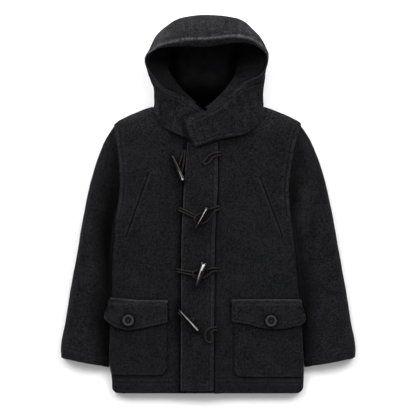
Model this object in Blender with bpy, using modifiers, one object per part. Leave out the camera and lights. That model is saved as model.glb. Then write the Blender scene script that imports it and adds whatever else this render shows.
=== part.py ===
"""A child's hooded duffle coat in charcoal wool, laid flat on its back.

The tables hold millimetres, taken as a tailor would from the laid-out coat: x from the centre line
(the wearer's left is +), up from the hem, z from the floor. Right and left are the wearer's.
"""
import math

import bmesh
import bpy
import numpy as np
from mathutils import Vector

MM = 0.001
LENGTH = 832.0         # from the hem to the crown of the laid-out hood
GAP = 0.3              # left at every seam
EASE_GAP = 0.5         # under a piece that lies on another

WOOL = 3.0             # thickness of the body, sleeves and hood
BAND_WOOL = 2.5
POCKET_WOOL = 2.5
WELT_WOOL = 1.6
FACING_WOOL = 1.5
LINING = 1.0
LINING_GAP = 1.0       # between the hood's facing and its lining
LINING_EASE = 0.7      # between the hood's cloth and what lines it

FRONT_TOP = 15.0       # height of the front's face over the floor
SEAM_Z = 8.0           # height of the side and shoulder seams
ARMHOLE_Z = 14.2       # height of the front's face along the armhole
ARMHOLE_END = 0.18     # share of the armhole over which it opens from each end
ROLL = 12.0            # how far in from a seam the cloth bends round to it
CORNER = 14.0          # radius of the hem's corners

UNDERARM, SHOULDER_TIP = 384.0, 589.0
NECK_X = 122.0         # where the shoulder seam meets the hood

# Half widths of the body by height; above the underarm they are the armholes.
BODY_EDGE = (
    # up, right, left
    (0, 212, 209),
    (36, 213, 211),
    (65, 218, 211),
    (115, 218, 209),
    (203, 211, 202),
    (291, 209, 196),
    (335, 208, 193),
    (384, 204, 185),
    (412, 196, 181),
    (456, 190, 179),
    (511, 191, 186),
    (555, 197, 194),
    (589, 207, 205),
)
SHOULDER = ((NECK_X, 629), (142, 621), (192, 599), (207, 589))   # distance from the centre line, up
SHOULDER_LEAN = 0.91   # cosine of the shoulder seam's slope
UNDER_HOOD, BESIDE_HOOD = 10.0, 4.0   # round the neck's corner, where the panels bend down to the seam
NECKLINES = {
    # distance from the centre line (on the left front, signed x), up
    "back": ((0, 613), (60, 616), (100, 622), (114, 626)),
    "right": ((0, 569), (47, 571), (78, 583), (98, 595), (112, 613)),
    "left": ((-60, 553), (-30, 554), (23, 563), (78, 577), (100, 592), (112, 611)),
}
UNDER_EDGE = ((0, -27), (300, -17), (570, -8))    # up, x: the right front's edge, hidden below the left
BAND_EDGES = (
    # up, right edge x, left edge x
    (5, -60.5, 11),
    (204, -59.5, 13),
    (359, -58, 15),
    (391, -56.5, 16.5),
    (440, -54, 20),
    (500, -50, 21),
    (553, -46, 21),
)
BAND_LOW, BAND_HIGH, BAND_ROWS = 5.0, 552.0, 18
BAND_CLEAR, BAND_FALL = 5.0, 27.0     # beside the band the front stays raised, then comes down
PANEL_ROWS = 15
DRAPE = (
    # x, up, reach in x, reach up, rise: broad swells and hollows of the fronts
    (-125, 500, 45, 90, 1.4),
    (-95, 350, 40, 80, -1.2),
    (-160, 290, 35, 60, 1.2),
    (-120, 80, 60, 60, 0.8),
    (110, 510, 50, 80, 1.5),
    (70, 330, 35, 110, -1.3),
    (150, 300, 40, 70, 1.3),
    (45, 120, 30, 100, -0.8),
)
DRAPE_HEM, DRAPE_NECK = (-20, 40), (540, 580)   # heights over which the swells come in and die out

# Sleeves: the outer edge by height, and the height of the crest from the armhole (0) to the cuff (1).
SLEEVE_OUTER = (
    # up, distance from the centre line
    (79, 323),
    (90, 324),
    (161, 313.5),
    (231, 302.5),
    (301, 289.5),
    (389, 274.5),
    (425, 267.5),
    (460, 260),
    (495, 250.5),
    (530, 239),
    (565, 223.5),
    (589, 207.5),
)
SLEEVE_CREST = ((0, 15), (0.12, 21), (0.3, 27), (0.6, 25), (0.85, 21), (1, 19))
CUFF_OUTER_UP, CUFF_INNER_UP = 79.0, 59.0
CUFF_BOW = 2.5
CUFF_STAND, CUFF_FROM = 3.0, 0.85     # how much further the cuff stands off the body, and from where
SLEEVE_CLEAR = 1.2     # between a sleeve and the side of the body
ARMHOLE_GAP = 1.3      # between the sleeve and the body at the armhole
CAP = 0.12             # share of the sleeve's length over which its armhole end turns into a tube
OUTER_ROUND, INNER_ROUND, UNDER_ROUND = 18.0, 42.0, 16.0   # how far in from its edges a sleeve rises
SLEEVE_ALONG = (0, 0.03, 0.07, 0.12, 0.19, 0.28, 0.38, 0.48, 0.58, 0.68, 0.78, 0.88, 1)
SLEEVE_ACROSS = (0, 0.02, 0.07, 0.16, 0.32, 0.5, 0.68, 0.84, 0.93, 0.98, 1)

# Hood: one row for each section from the right end at the throat, over the crown, to the left end.
HOOD = (
    # rim x, up, z | side x, up, z | low x, up, z | neck x, up, z
    (1, 615, 23, -2, 596, 22, -5, 577, 20.5, -8, 563, 18.8),
    (-27, 636, 25, -34, 609, 23.5, -38, 581, 21, -41, 561, 18.8),
    (-60, 656, 30, -69, 630, 26.5, -73, 598, 22.5, -76, 574, 19),
    (-91, 669, 41, -100, 640, 33, -102, 612, 25, -101, 587, 19),
    (-112, 688, 50, -115, 658, 33, -118, 631, 24, -118, 612, 19.2),
    (-127, 706, 57, -121, 682, 31, -116, 652, 13, -119.5, 632, 12),
    (-138, 725, 62, -121, 714, 32, -87, 680, 2, -103, 625, 0),
    (-134, 743, 66, -121, 742, 35, -80, 719, 0, -82, 621, 0),
    (-106, 755, 69, -115, 779, 37, -71, 754, 0, -60, 618, 0),
    (-68, 760, 70, -85, 812, 37, -60, 779, 0, -45, 616.5, 0),
    (-40, 760, 70, -53, 827, 37, -43, 792, 0, -34, 615.5, 0),
    (0, 760, 70, 0, 832, 37, 0, 796, 0, 0, 614.5, 0),
    (58, 768, 70, 68, 822, 37, 56, 789, 0, 34, 615.5, 0),
    (91, 766, 69, 98, 803, 37, 71, 767, 0, 51, 617, 0),
    (116, 753, 67, 121, 770, 36, 78, 741, 0, 71, 619.5, 0),
    (131, 737, 63, 120, 735, 34, 78, 710, 0, 93, 623, 0),
    (124, 711, 57, 119, 699, 32, 92, 674, 3, 108, 627, 1),
    (107, 695, 52, 119, 675, 32, 117, 650, 13, 120, 632, 12),
    (84, 687, 47, 112, 653, 33, 120, 628, 24, 119, 608, 19.2),
    (62, 672, 42, 82, 638, 34, 95, 605, 27, 95, 579, 21),
    (40, 653, 37, 51, 622, 33, 62, 590, 27, 71, 568, 22),
    (12, 630, 33, 16, 605, 31, 20, 581, 27.5, 23, 559, 25.2),
    (-19, 615, 31, -14, 594, 30, -6, 570, 28, -3, 550, 25.8),
    (-52, 602, 31, -46, 581, 30, -37, 559, 28, -30, 541, 25.8),
)
HOOD_SEAMS = (10, 12)          # the rows at the centre piece's two seams
FACED = (3, 19)                # the rows between which the facing shows
LINED = (5, 17)                # the rows between which the lining is seen
# The brim is rolled at the crown, flat at the throat and stands upright at the sides.
BRIM = (
    # row, outwards from the rim, rise over the rim
    (0, 11, 0.3),
    (3, 9, 0.5),
    (5, 3, -3),
    (6.5, 0, -8),
    (8, 6, 1.5),
    (9.5, 11, 4.5),
    (13, 11, 4.5),
    (14.3, 5, 1),
    (15.5, 0, -7),
    (17, 3, -3),
    (19.5, 9, 0.5),
    (23, 11, 0.3),
)
STEPS_ROUND, STEPS_DOWN = 2, 12
STEP_GROWTH = 1.25             # the steps down a section are finer near the rim
FACING_STEPS = 5               # how many steps down from the rim the facing covers

# Chest welts: a slit's two ends; the welt lies from the slit towards the centre.
WELTS = {
    # top x, up | bottom x, up
    "right": (-129, 488, -179, 346),
    "left": (114, 473, 162, 346),
}
WELT_WIDTH = 22.0

# Patch pockets: the bag's inner edge, bottom and mouth, then the flap's outline.
POCKETS = {
    # inner x, bottom up, mouth up
    "right": (-92, 40, 190),
    "left": (58, 36, 190),
}
POCKET_CORNER = 18.0
FLAP_BEND = (3, 12)    # over the bag's mouth, where a flap comes down from the bag to the front
FLAPS = {
    # x, top up, bottom up, from the inner edge to the outer tip
    "right": (
        (-90, 202.5, 156),
        (-102, 202.5, 154),
        (-126, 202.5, 147.5),
        (-153, 202.5, 142),
        (-176, 204, 138.5),
        (-203, 207, 145),
        (-215, 208, 152),
        (-229, 171, 164),
    ),
    "left": (
        (52, 204, 157),
        (68, 204, 155.5),
        (90, 204, 152),
        (111, 204, 145),
        (138, 204, 141),
        (170, 204, 143),
        (203, 204, 149.5),
        (214.5, 168, 158),
    ),
}
BUTTONS = {"right": (-176, 160.5), "left": (138.5, 159.5)}
BUTTON_STEPS, TOGGLE_STEPS = 20, 12
BUTTON_PROFILE = (
    # radius, height
    (0, 2.6),
    (7.6, 2.4),
    (9.2, 3.9),
    (11.4, 4.1),
    (12.8, 2.8),
    (12.6, 1.0),
    (11.2, 0),
    (0, 0),
)

TOGGLES = (
    # thin end x, up, z | thick end x, up, z, along the toggle's axis
    (-80, 524, 20.5, -56, 466, 29),
    (-30, 359, 31.5, -1, 409, 34.2),
    (-27, 233, 30.85, -8, 288, 33.5),
    (-65, 185, 27, -21, 136, 29.8),
)
TOGGLE_PROFILE = (
    # along from the thin end, 0 to 1, radius
    (1, 0),
    (1, 4.6),
    (0.97, 6.8),
    (0.9, 7.2),
    (0.62, 6.2),
    (0.3, 4.9),
    (0.05, 3.6),
    (0, 2.2),
    (0, 0),
)

CORD = 3.8             # diameter of the cords
CORD_STEP = 5.0
# Each cord is one doubled strand: out from where it is sewn, round its end and back.
TIES = (
    ((-50.4, 536, 17.5), (-51.5, 522, 17.5), (-54, 506, 17.5), (-56.5, 492, 17.5), (-60, 485.5, 17.5),
     (-63.5, 488, 17.5), (-61.5, 496, 17.5), (-58.3, 508, 17.5), (-56.1, 522, 17.5), (-55.3, 536, 17.5)),
    ((-63, 408.4, 17.4), (-60, 407, 21.5), (-55.4, 405, 24.6), (-46, 400.4, 24.2), (-35, 395.4, 24.1),
     (-25, 391, 24.1), (-18.5, 388.2, 24.1), (-16, 384.4, 24.1), (-19.8, 382.5, 24.1), (-27, 385.7, 24.1),
     (-37, 390.4, 24.1), (-48, 395.4, 24.2),
     (-57.6, 400, 24.6), (-62, 402, 21.5), (-65, 403.6, 17.4)),
    ((-68, 273.5, 17.4), (-65, 273, 21.5), (-60.5, 272, 24.6), (-50, 270, 24.2), (-36, 267, 24.1),
     (-25.5, 265, 24.1), (-21.5, 264.2, 24.1), (-19.3, 261.9, 24.1), (-21.5, 259.5, 24.1),
     (-25.5, 259.3, 24.1), (-36, 261.3, 24.1), (-50, 264.3, 24.2),
     (-60.5, 266.5, 24.6), (-65, 267.3, 21.5), (-68, 267.8, 17.4)),
    ((-69, 160, 17.4), (-65.5, 159.8, 21.5), (-60.8, 159.5, 24.6), (-54.5, 159.2, 24.2), (-51, 158.7, 24.2),
     (-49.6, 156.5, 24.2), (-51, 154.2, 24.2), (-54.5, 153.8, 24.2), (-60.8, 153.5, 24.6),
     (-65.5, 153.3, 21.5), (-69, 153.2, 17.4)),
)
LOOPS = (
    ((27.5, 531, 20.9), (24.5, 530.8, 23), (20.5, 530, 24.6), (12, 528.5, 24.2), (3, 524, 24.2),
     (-5, 516.5, 24.2), (-10, 508.5, 24.2), (-7, 504, 24.2), (-1, 507, 24.2), (6, 513.5, 24.2),
     (13, 520.5, 24.2), (20.5, 523.5, 24.6), (24.5, 524, 23), (27.5, 524.2, 20.9)),
    ((24.5, 412, 20.9), (21.3, 411.5, 23), (17.3, 410.5, 24.6), (9, 408, 24.2), (0, 404, 24.2),
     (-10, 399, 24.2), (-20, 394.8, 26.6), (-28, 389.5, 29.2), (-30, 381.5, 28.8), (-25, 375.3, 25.5),
     (-17, 373.5, 24.2), (-6, 377, 24.2), (3, 385, 24.2), (10, 395, 24.2), (17.5, 403, 24.6),
     (21.5, 404.8, 23), (24.5, 405.3, 20.9)),
    ((20.3, 276, 20.9), (17.2, 276, 23), (13.3, 275.8, 24.6), (5, 275, 24.2), (-8, 272, 24.2),
     (-20, 271.5, 24.3), (-29, 270, 27.6), (-34.5, 263.5, 28.6), (-31.5, 256, 27.8), (-24, 252, 24.6),
     (-12, 254, 24.2), (0, 261, 24.2), (7, 267, 24.2), (13.5, 269, 24.6), (17.4, 269.3, 23),
     (20.3, 269.4, 20.9)),
    ((18.9, 146, 20.9), (15.8, 146, 23), (11.8, 145.5, 24.6), (4, 143.5, 24.2), (-3, 139, 24.2),
     (-6, 131, 24.2), (-5.5, 121.5, 24.2), (-1, 114, 24.2), (5, 112.5, 24.2), (9.3, 118, 24.2),
     (8.5, 127, 24.2), (7, 134, 24.2), (11.8, 138.8, 24.6), (15.8, 139.4, 23), (18.9, 139.6, 20.9)),
)


def clear_scene():
    for item in list(bpy.data.objects):
        bpy.data.objects.remove(item, do_unlink=True)


def through(rows, at):
    """Read a smooth line through the rows, which are sorted by their first column."""
    rows = np.array(rows, dtype=float)
    keys, values = rows[:, 0], rows[:, 1:]
    slopes = np.gradient(values, keys, axis=0)
    at = min(max(at, keys[0]), keys[-1])
    low = min(max(int(np.searchsorted(keys, at)) - 1, 0), len(keys) - 2)
    span = keys[low + 1] - keys[low]
    part = (at - keys[low]) / span
    rest = 1 - part
    return (values[low] * rest * rest * (1 + 2 * part)
            + values[low + 1] * part * part * (3 - 2 * part)
            + slopes[low] * span * part * rest * rest
            - slopes[low + 1] * span * part * part * rest)


def straight(rows, at):
    """Read a line of straight runs through two-column rows."""
    keys, values = zip(*rows)
    return float(np.interp(at, keys, values))


def ease(start, end, value):
    """Go from 0 to 1 between start and end, without a corner."""
    part = min(max((value - start) / (end - start), 0.0), 1.0)
    return part * part * (3 - 2 * part)


def rounded(distance, reach):
    """A quarter round: 0 at the edge, 1 from reach inwards."""
    part = min(max(distance / reach, 0.0), 1.0)
    return math.sqrt(1 - (1 - part) ** 2)


def sloped(distance, reach):
    """A shallow bend: 0 at the edge with a slope, level at reach and 1 from there inwards."""
    part = min(max(distance / reach, 0.0), 1.0)
    return 1 - (1 - part) ** 2


def roll_steps(reach=ROLL, count=4):
    """Distances from an edge at which a quarter round is cut into equal turns, inner first."""
    return [reach * (1 - math.sin(math.pi / 2 * step / count)) for step in range(1, count + 1)]


def at_armhole(up):
    """1 along the open armhole, 0 at its two ends and at the side seam."""
    part = (up - UNDERARM) / (SHOULDER_TIP - UNDERARM)
    return ease(0, ARMHOLE_END, part) * ease(0, ARMHOLE_END, 1 - part)


def edge(side, up):
    """Half width of the body on the side -1 (right) or 1 (left)."""
    right, left = through(BODY_EDGE, up)
    lift = max(CORNER - up, 0.0)
    corner = CORNER - math.sqrt(CORNER ** 2 - lift ** 2)
    return (right if side < 0 else left) - corner


def top_line(panel, x):
    """Height of a panel's top edge: its neckline and then the shoulder."""
    neckline = NECKLINES[panel]
    place = x if panel == "left" else abs(x)
    return straight(neckline + SHOULDER, place)


def drape(x, up):
    """Rise of the fronts' broad swells, which die out at the hem and below the neck."""
    swell = sum(rise * math.exp(-((x - cx) / rx) ** 2 - ((up - cy) / ry) ** 2)
                for cx, cy, rx, ry, rise in DRAPE)
    return swell * ease(*DRAPE_HEM, up) * (1 - ease(*DRAPE_NECK, up))


def at_shoulder(panel, x, up):
    """1 where the cloth keeps its height, falling to 0 at the shoulder seam beside the hood."""
    shoulder = ease(NECK_X - UNDER_HOOD, NECK_X + BESIDE_HOOD, abs(x))
    below = SHOULDER_LEAN * (top_line(panel, x) - up)
    return 1 - shoulder * (1 - rounded(below, ROLL))


def front_z(side, x, up):
    """Height of a front's face over the floor."""
    panel = "left" if side > 0 else "right"
    height = FRONT_TOP + drape(x, up)
    if side > 0:
        beside = through(BAND_EDGES, up)[1] + BAND_CLEAR
        height += (WOOL + EASE_GAP) * (1 - ease(beside, beside + BAND_FALL, x))
    inside = edge(side, up) - abs(x)
    open_arm = at_armhole(up)
    edge_z = SEAM_Z + GAP / 2 + (ARMHOLE_Z - SEAM_Z) * open_arm
    turn = (1 - open_arm) * rounded(inside, ROLL) + open_arm * sloped(inside, ROLL)
    height = edge_z + (height - edge_z) * turn
    seam = SEAM_Z + GAP / 2
    return seam + (height - seam) * at_shoulder(panel, x, up)


def back_z(x, up):
    """Height of the back's outer face: flat on the floor, bent up to its seams."""
    side = -1 if x < 0 else 1
    inside = edge(side, up) - abs(x)
    open_arm = at_armhole(up)
    seam = SEAM_Z - GAP / 2
    height = seam * (1 - open_arm) * (1 - rounded(inside, ROLL))
    return seam - (seam - height) * at_shoulder("back", x, up)


def panel_rows(top, count):
    """Heights of a panel's rows: close at the hem's corner and at the shoulder, even between."""
    low = [0.0, CORNER * 0.3, CORNER]
    high = [top - distance for distance in roll_steps()]
    even = np.linspace(CORNER, top - ROLL, count + 1)[1:]
    return low + list(even) + high


def panel_columns(side, up, starts, counts):
    """Distances across a half panel to its side edge, by way of the starts and the neck's corner."""
    inner = edge(side, up) - ROLL
    neck = inner * NECK_X / (edge(side, SHOULDER_TIP) - ROLL)
    stops = [*starts, neck, inner]
    columns = [stops[0]]
    for first, last, count in zip(stops, stops[1:], counts):
        columns += list(np.linspace(first, last, count + 1)[1:])
    return columns + [inner + ROLL - distance for distance in roll_steps()]


def make_material(name, color, roughness, metallic=0.0):
    material = bpy.data.materials.new(name)
    material.use_nodes = True
    shader = material.node_tree.nodes["Principled BSDF"]
    shader.inputs["Base Color"].default_value = (*color, 1.0)
    shader.inputs["Roughness"].default_value = roughness
    shader.inputs["Metallic"].default_value = metallic
    return material


def put(obj, material):
    """Give an object its material and its place in the coat's collection."""
    obj.data.materials.append(material)
    bpy.data.collections["duffle_coat"].objects.link(obj)
    return obj


def metres(point):
    """A tailor's point in the frame's metres, with the origin under the middle of the coat."""
    x, up, z = point
    return Vector((x, up - LENGTH / 2, z)) * MM


def wall(name, outer, inner, material):
    """A closed wall of cloth lofted between its outer and inner grids of points, columns first."""
    columns, rows = len(outer), len(outer[0])
    work = bmesh.new()
    skins = [[[work.verts.new(metres(point)) for point in line] for line in grid] for grid in (outer, inner)]
    out, back = skins
    for i in range(columns - 1):
        for j in range(rows - 1):
            work.faces.new((out[i][j], out[i + 1][j], out[i + 1][j + 1], out[i][j + 1]))
            work.faces.new((back[i][j], back[i][j + 1], back[i + 1][j + 1], back[i + 1][j]))
    around = [(i, 0) for i in range(columns)] + [(columns - 1, j) for j in range(1, rows)]
    around += [(i, rows - 1) for i in range(columns - 2, -1, -1)] + [(0, j) for j in range(rows - 2, 0, -1)]
    for (i, j), (k, m) in zip(around, around[1:] + around[:1]):
        work.faces.new((out[k][m], out[i][j], back[i][j], back[k][m]))
    mesh = bpy.data.meshes.new(name)
    work.to_mesh(mesh)
    work.free()
    mesh.shade_smooth()
    return put(bpy.data.objects.new(name, mesh), material)


def sheet(name, grid, thick, material, lowest=-math.inf, highest=math.inf):
    """A wall through a grid of outer points, with its inner side kept between two heights."""
    inner = moved_in(grid, thick)
    inner[:, :, 2] = np.clip(inner[:, :, 2], lowest, highest)
    return wall(name, grid, inner, material)


def moved_in(grid, distance):
    """The same grid moved along its normals, inwards for a positive distance."""
    points = np.array(grid, dtype=float)
    across = np.gradient(points, axis=0)
    along = np.gradient(points, axis=1)
    normals = np.cross(across, along)
    normals /= np.maximum(np.linalg.norm(normals, axis=2, keepdims=True), 1e-9)
    return points - normals * distance


# ---------------------------------------------------------------- body


def half_panel(panel, side, starts, counts, height):
    """Columns of points from the centre to the side; starts gives the first columns' places by height."""
    grid = []
    for index, top_x in enumerate(panel_columns(side, SHOULDER_TIP, starts(SHOULDER_TIP), counts)):
        line = []
        for up in panel_rows(top_line(panel, side * top_x), PANEL_ROWS):
            x = side * panel_columns(side, up, starts(up), counts)[index]
            line.append((x, up, height(x, up)))
        grid.append(line)
    return grid


def make_back(wool):
    right, left = (half_panel("back", side, lambda up: [0], (3, 2), back_z) for side in (-1, 1))
    return sheet("back", left[::-1] + right[1:], WOOL, wool, highest=SEAM_Z - GAP / 2)


def make_fronts(wool):
    def right_starts(up):
        return [-straight(UNDER_EDGE, up)]

    def left_starts(up):
        right, left = through(BAND_EDGES, up)
        return [right + 1, left + BAND_CLEAR, left + BAND_CLEAR + BAND_FALL]

    right = half_panel("right", -1, right_starts, (4, 3), lambda x, up: front_z(-1, x, up))
    left = half_panel("left", 1, left_starts, (2, 1, 2, 3), lambda x, up: front_z(1, x, up))
    sheet("front_right", right[::-1], WOOL, wool, lowest=SEAM_Z + GAP / 2)
    sheet("front_left", left, WOOL, wool, lowest=SEAM_Z + GAP / 2)


def laid_on(name, base, gap, thick, material):
    """A piece made from the points of what it lies on, moved out."""
    return wall(name, moved_in(base, -gap - thick), moved_in(base, -gap), material)


def make_band(wool):
    base = []
    for part in np.linspace(0, 1, 4):
        line = []
        for up in np.linspace(BAND_LOW, BAND_HIGH, BAND_ROWS):
            right, left = through(BAND_EDGES, up)
            x = right + (left - right) * part
            line.append((x, up, front_z(1, x, up)))
        base.append(line)
    laid_on("front_band", base, EASE_GAP, BAND_WOOL, wool)


# ---------------------------------------------------------------- pockets


def make_welt(word, wool):
    side = -1 if word == "right" else 1
    top_x, top, low_x, low = WELTS[word]
    base = []
    for across in (0, 0.5, 1):
        line = []
        for part in np.linspace(0, 1, 8):
            up = low + (top - low) * part
            x = low_x + (top_x - low_x) * part - side * WELT_WIDTH * across
            line.append((x, up, front_z(side, x, up)))
        base.append(line)
    if side > 0:
        base = base[::-1]
    laid_on("chest_welt_" + word, base, EASE_GAP, WELT_WOOL, wool)


def make_bag(word, wool):
    side = -1 if word == "right" else 1
    inner, bottom, mouth = POCKETS[word]
    base = []
    for index in range(9):
        line = []
        for part in np.linspace(0, 1, 7):
            flat = edge(side, bottom + (mouth - bottom) * part) - ROLL
            corner = [abs(inner) + POCKET_CORNER * share for share in (0, 0.13, 0.45)]
            even = list(np.linspace(abs(inner) + POCKET_CORNER, flat, 4))
            x = (corner + even + [flat + ROLL - distance for distance in roll_steps()[:2]])[index]
            from_edge = max(POCKET_CORNER - (x - abs(inner)), 0)
            low = bottom + POCKET_CORNER - math.sqrt(POCKET_CORNER ** 2 - from_edge ** 2)
            up = low + (mouth - low) * part
            line.append((side * x, up, front_z(side, side * x, up)))
        base.append(line)
    if side < 0:
        base = base[::-1]
    laid_on("pocket_bag_" + word, base, EASE_GAP, POCKET_WOOL, wool)


def flap_z(side, x, up):
    """The face that a flap lies on: the front above the bag's mouth, then the bag, held out level."""
    mouth = POCKETS["left"][2]
    inner = min(abs(x), edge(side, up) - ROLL)
    bag = (EASE_GAP + POCKET_WOOL) * (1 - ease(*FLAP_BEND, up - mouth))
    return front_z(side, side * inner, up) + bag


def make_flap(word, wool):
    side = -1 if word == "right" else 1
    over_bag = POCKETS[word][2] + FLAP_BEND[0]
    base = []
    for x, top, bottom in FLAPS[word]:
        ups = [*np.linspace(bottom, min(over_bag, top - 4), 5), top]
        base.append([(x, up, flap_z(side, x, up)) for up in ups])
    if side < 0:
        base = base[::-1]
    laid_on("pocket_flap_" + word, base, EASE_GAP, POCKET_WOOL, wool)


def turned(name, profile, steps, material):
    """A closed shape turned round its own z from a profile of radii and heights, top to bottom."""
    mesh = bpy.data.meshes.new(name)
    points = [(radius * MM, 0.0, height * MM) for radius, height in profile]
    mesh.from_pydata(points, [(i, i + 1) for i in range(len(points) - 1)], [])
    obj = put(bpy.data.objects.new(name, mesh), material)
    screw = obj.modifiers.new("turn", "SCREW")
    screw.steps = screw.render_steps = steps
    screw.use_merge_vertices = True
    screw.merge_threshold = 0.00005
    screw.use_smooth_shade = True
    return obj


def make_button(word, horn):
    side = -1 if word == "right" else 1
    x, up = BUTTONS[word]
    radius = BUTTON_PROFILE[4][0]
    turns = [math.tau * step / 8 for step in range(8)]
    rests = [flap_z(side, x, up)]
    rests += [flap_z(side, x + radius * math.cos(turn), up + radius * math.sin(turn)) for turn in turns]
    button = turned("button_" + word, BUTTON_PROFILE, BUTTON_STEPS, horn)
    button.location = metres((x, up, max(rests) + EASE_GAP + POCKET_WOOL + GAP))


# ---------------------------------------------------------------- toggles and cords


def make_toggle(number, horn):
    thin, thick = Vector(TOGGLES[number - 1][:3]), Vector(TOGGLES[number - 1][3:])
    length = (thick - thin).length
    profile = [(radius, along * length) for along, radius in TOGGLE_PROFILE]
    toggle = turned("toggle_%d" % number, profile, TOGGLE_STEPS, horn)
    toggle.location = metres(thin)
    toggle.rotation_mode = "QUATERNION"
    toggle.rotation_quaternion = (thick - thin).to_track_quat("Z", "Y")


def make_cord(name, route, cord):
    """A tube along a smooth line through the route's points."""
    lengths = [0.0]
    for first, second in zip(route, route[1:]):
        lengths.append(lengths[-1] + math.dist(first, second))
    rows = [(length, *point) for length, point in zip(lengths, route)]
    places = np.linspace(0, lengths[-1], round(lengths[-1] / CORD_STEP) + 4)
    curve = bpy.data.curves.new(name, "CURVE")
    curve.dimensions = "3D"
    curve.bevel_depth = CORD / 2 * MM
    curve.bevel_resolution = 2
    curve.use_fill_caps = True
    line = curve.splines.new("POLY")
    line.points.add(len(places) - 1)
    for point, place in zip(line.points, places):
        point.co = (*metres(through(rows, place)), 1.0)
    return put(bpy.data.objects.new(name, curve), cord)


# ---------------------------------------------------------------- sleeves


def sleeve_plan(side, along, across):
    """A point of the flat sleeve: along from armhole to cuff, across from outer to inner edge."""
    outer_up = SHOULDER_TIP + (CUFF_OUTER_UP - SHOULDER_TIP) * along
    outer = np.array((float(through(SLEEVE_OUTER, outer_up)[0]), outer_up))
    inner_up = UNDERARM + (CUFF_INNER_UP - UNDERARM) * along
    clear = ARMHOLE_GAP + (SLEEVE_CLEAR - ARMHOLE_GAP) * ease(0, CAP, along)
    clear += CUFF_STAND * ease(CUFF_FROM, 1, along)
    inner = np.array((edge(side, inner_up) + clear, inner_up))
    arm_up = SHOULDER_TIP + (UNDERARM - SHOULDER_TIP) * across
    start = np.array((edge(side, arm_up) + ARMHOLE_GAP, arm_up))
    chord = np.array(SLEEVE_OUTER[-1][::-1], dtype=float) * (1 - across)
    chord += np.array((edge(side, UNDERARM) + ARMHOLE_GAP, UNDERARM)) * across
    bow = (start - chord) * (1 - along) ** 4
    x, up = outer * (1 - across) + inner * across + bow
    return side * x, up - CUFF_BOW * math.sin(math.pi * across) * along ** 6


def sleeve_round(along, across, width, upper):
    """How far the sleeve has gone from its edges' height to its crest's or the floor's, 0 to 1."""
    cap = ease(0, ARMHOLE_END, across) * ease(0, ARMHOLE_END, 1 - across)
    if upper:
        tube = rounded(across * width, OUTER_ROUND) * sloped((1 - across) * width, INNER_ROUND)
    else:
        tube = rounded(across * width, UNDER_ROUND) * rounded((1 - across) * width, UNDER_ROUND)
    blend = ease(0, CAP, along)
    return cap * (1 - blend) + tube * blend


def sleeve_grid(side, upper):
    """A sleeve's upper or under half, a column for each step along it."""
    grid = []
    for along in SLEEVE_ALONG:
        start = np.array(sleeve_plan(side, along, 0))
        width = float(np.linalg.norm(np.array(sleeve_plan(side, along, 1)) - start))
        crest = straight(SLEEVE_CREST, along)
        line = []
        for across in SLEEVE_ACROSS:
            x, up = sleeve_plan(side, along, across)
            seam, level = (SEAM_Z + GAP / 2, crest) if upper else (SEAM_Z - GAP / 2, 0)
            line.append((x, up, seam + (level - seam) * sleeve_round(along, across, width, upper)))
        grid.append(line)
    if (side > 0) == upper:
        grid = grid[::-1]
    return grid


def make_sleeves(wool):
    for side, word in ((-1, "right"), (1, "left")):
        sheet("sleeve_upper_" + word, sleeve_grid(side, True), WOOL, wool, lowest=SEAM_Z + GAP / 2)
        sheet("sleeve_under_" + word, sleeve_grid(side, False), WOOL, wool, highest=SEAM_Z - GAP / 2)


# ---------------------------------------------------------------- hood


def hood_keys(row):
    """The rim, crest, side, low and neck points of a section; row may lie between two rows."""
    table = [(index, *values) for index, values in enumerate(HOOD)]
    rim, side, low, neck = through(table, row).reshape(4, 3)
    ahead = through(table, min(row + 0.3, len(HOOD) - 1)).reshape(4, 3)[0]
    behind = through(table, max(row - 0.3, 0)).reshape(4, 3)[0]
    run = (ahead - behind)[:2]
    run /= np.linalg.norm(run)
    outward = np.array((-run[1], run[0], 0.0))
    out, rise = through(BRIM, row)
    crest = rim + outward * out + np.array((0, 0, rise))
    return rim, crest, side, low, neck


def hood_section(row, parts):
    """Points down one section, parts running from 0 at the rim to 1 at the neck."""
    keys = hood_keys(row)
    lengths = [0.0]
    for first, second in zip(keys, keys[1:]):
        lengths.append(lengths[-1] + float(np.linalg.norm(second - first)))
    rows = [(length / lengths[-1], *key) for length, key in zip(lengths, keys)]
    line = [through(rows, part) for part in parts]
    return [(x, up, max(z, 0.0)) for x, up, z in line]


def hood_grid():
    """The hood's outer face, a column for each section and the sections between them."""
    rows = np.linspace(0, len(HOOD) - 1, (len(HOOD) - 1) * STEPS_ROUND + 1)
    parts = [(step / STEPS_DOWN) ** STEP_GROWTH for step in range(STEPS_DOWN + 1)]
    return np.array([hood_section(row, parts) for row in rows])


def trimmed(grid, first, last, gap=GAP):
    """Part of a grid from one column to another, its two end columns drawn in by half the gap."""
    piece = np.array(grid[first:last + 1])
    for end, beside in ((0, 1), (-1, -2)):
        run = piece[beside] - piece[end]
        length = np.maximum(np.linalg.norm(run, axis=1, keepdims=True), gap)
        piece[end] = piece[end] + run / length * gap / 2
    return piece


def trimmed_down(grid, rows, first, last):
    """Part of a grid between two rows, from one step down to another, drawn in at both steps."""
    start, end = (row * STEPS_ROUND for row in rows)
    across = np.swapaxes(grid[start:end + 1], 0, 1)
    return np.swapaxes(trimmed(across, first, last, LINING_GAP), 0, 1)


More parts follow.
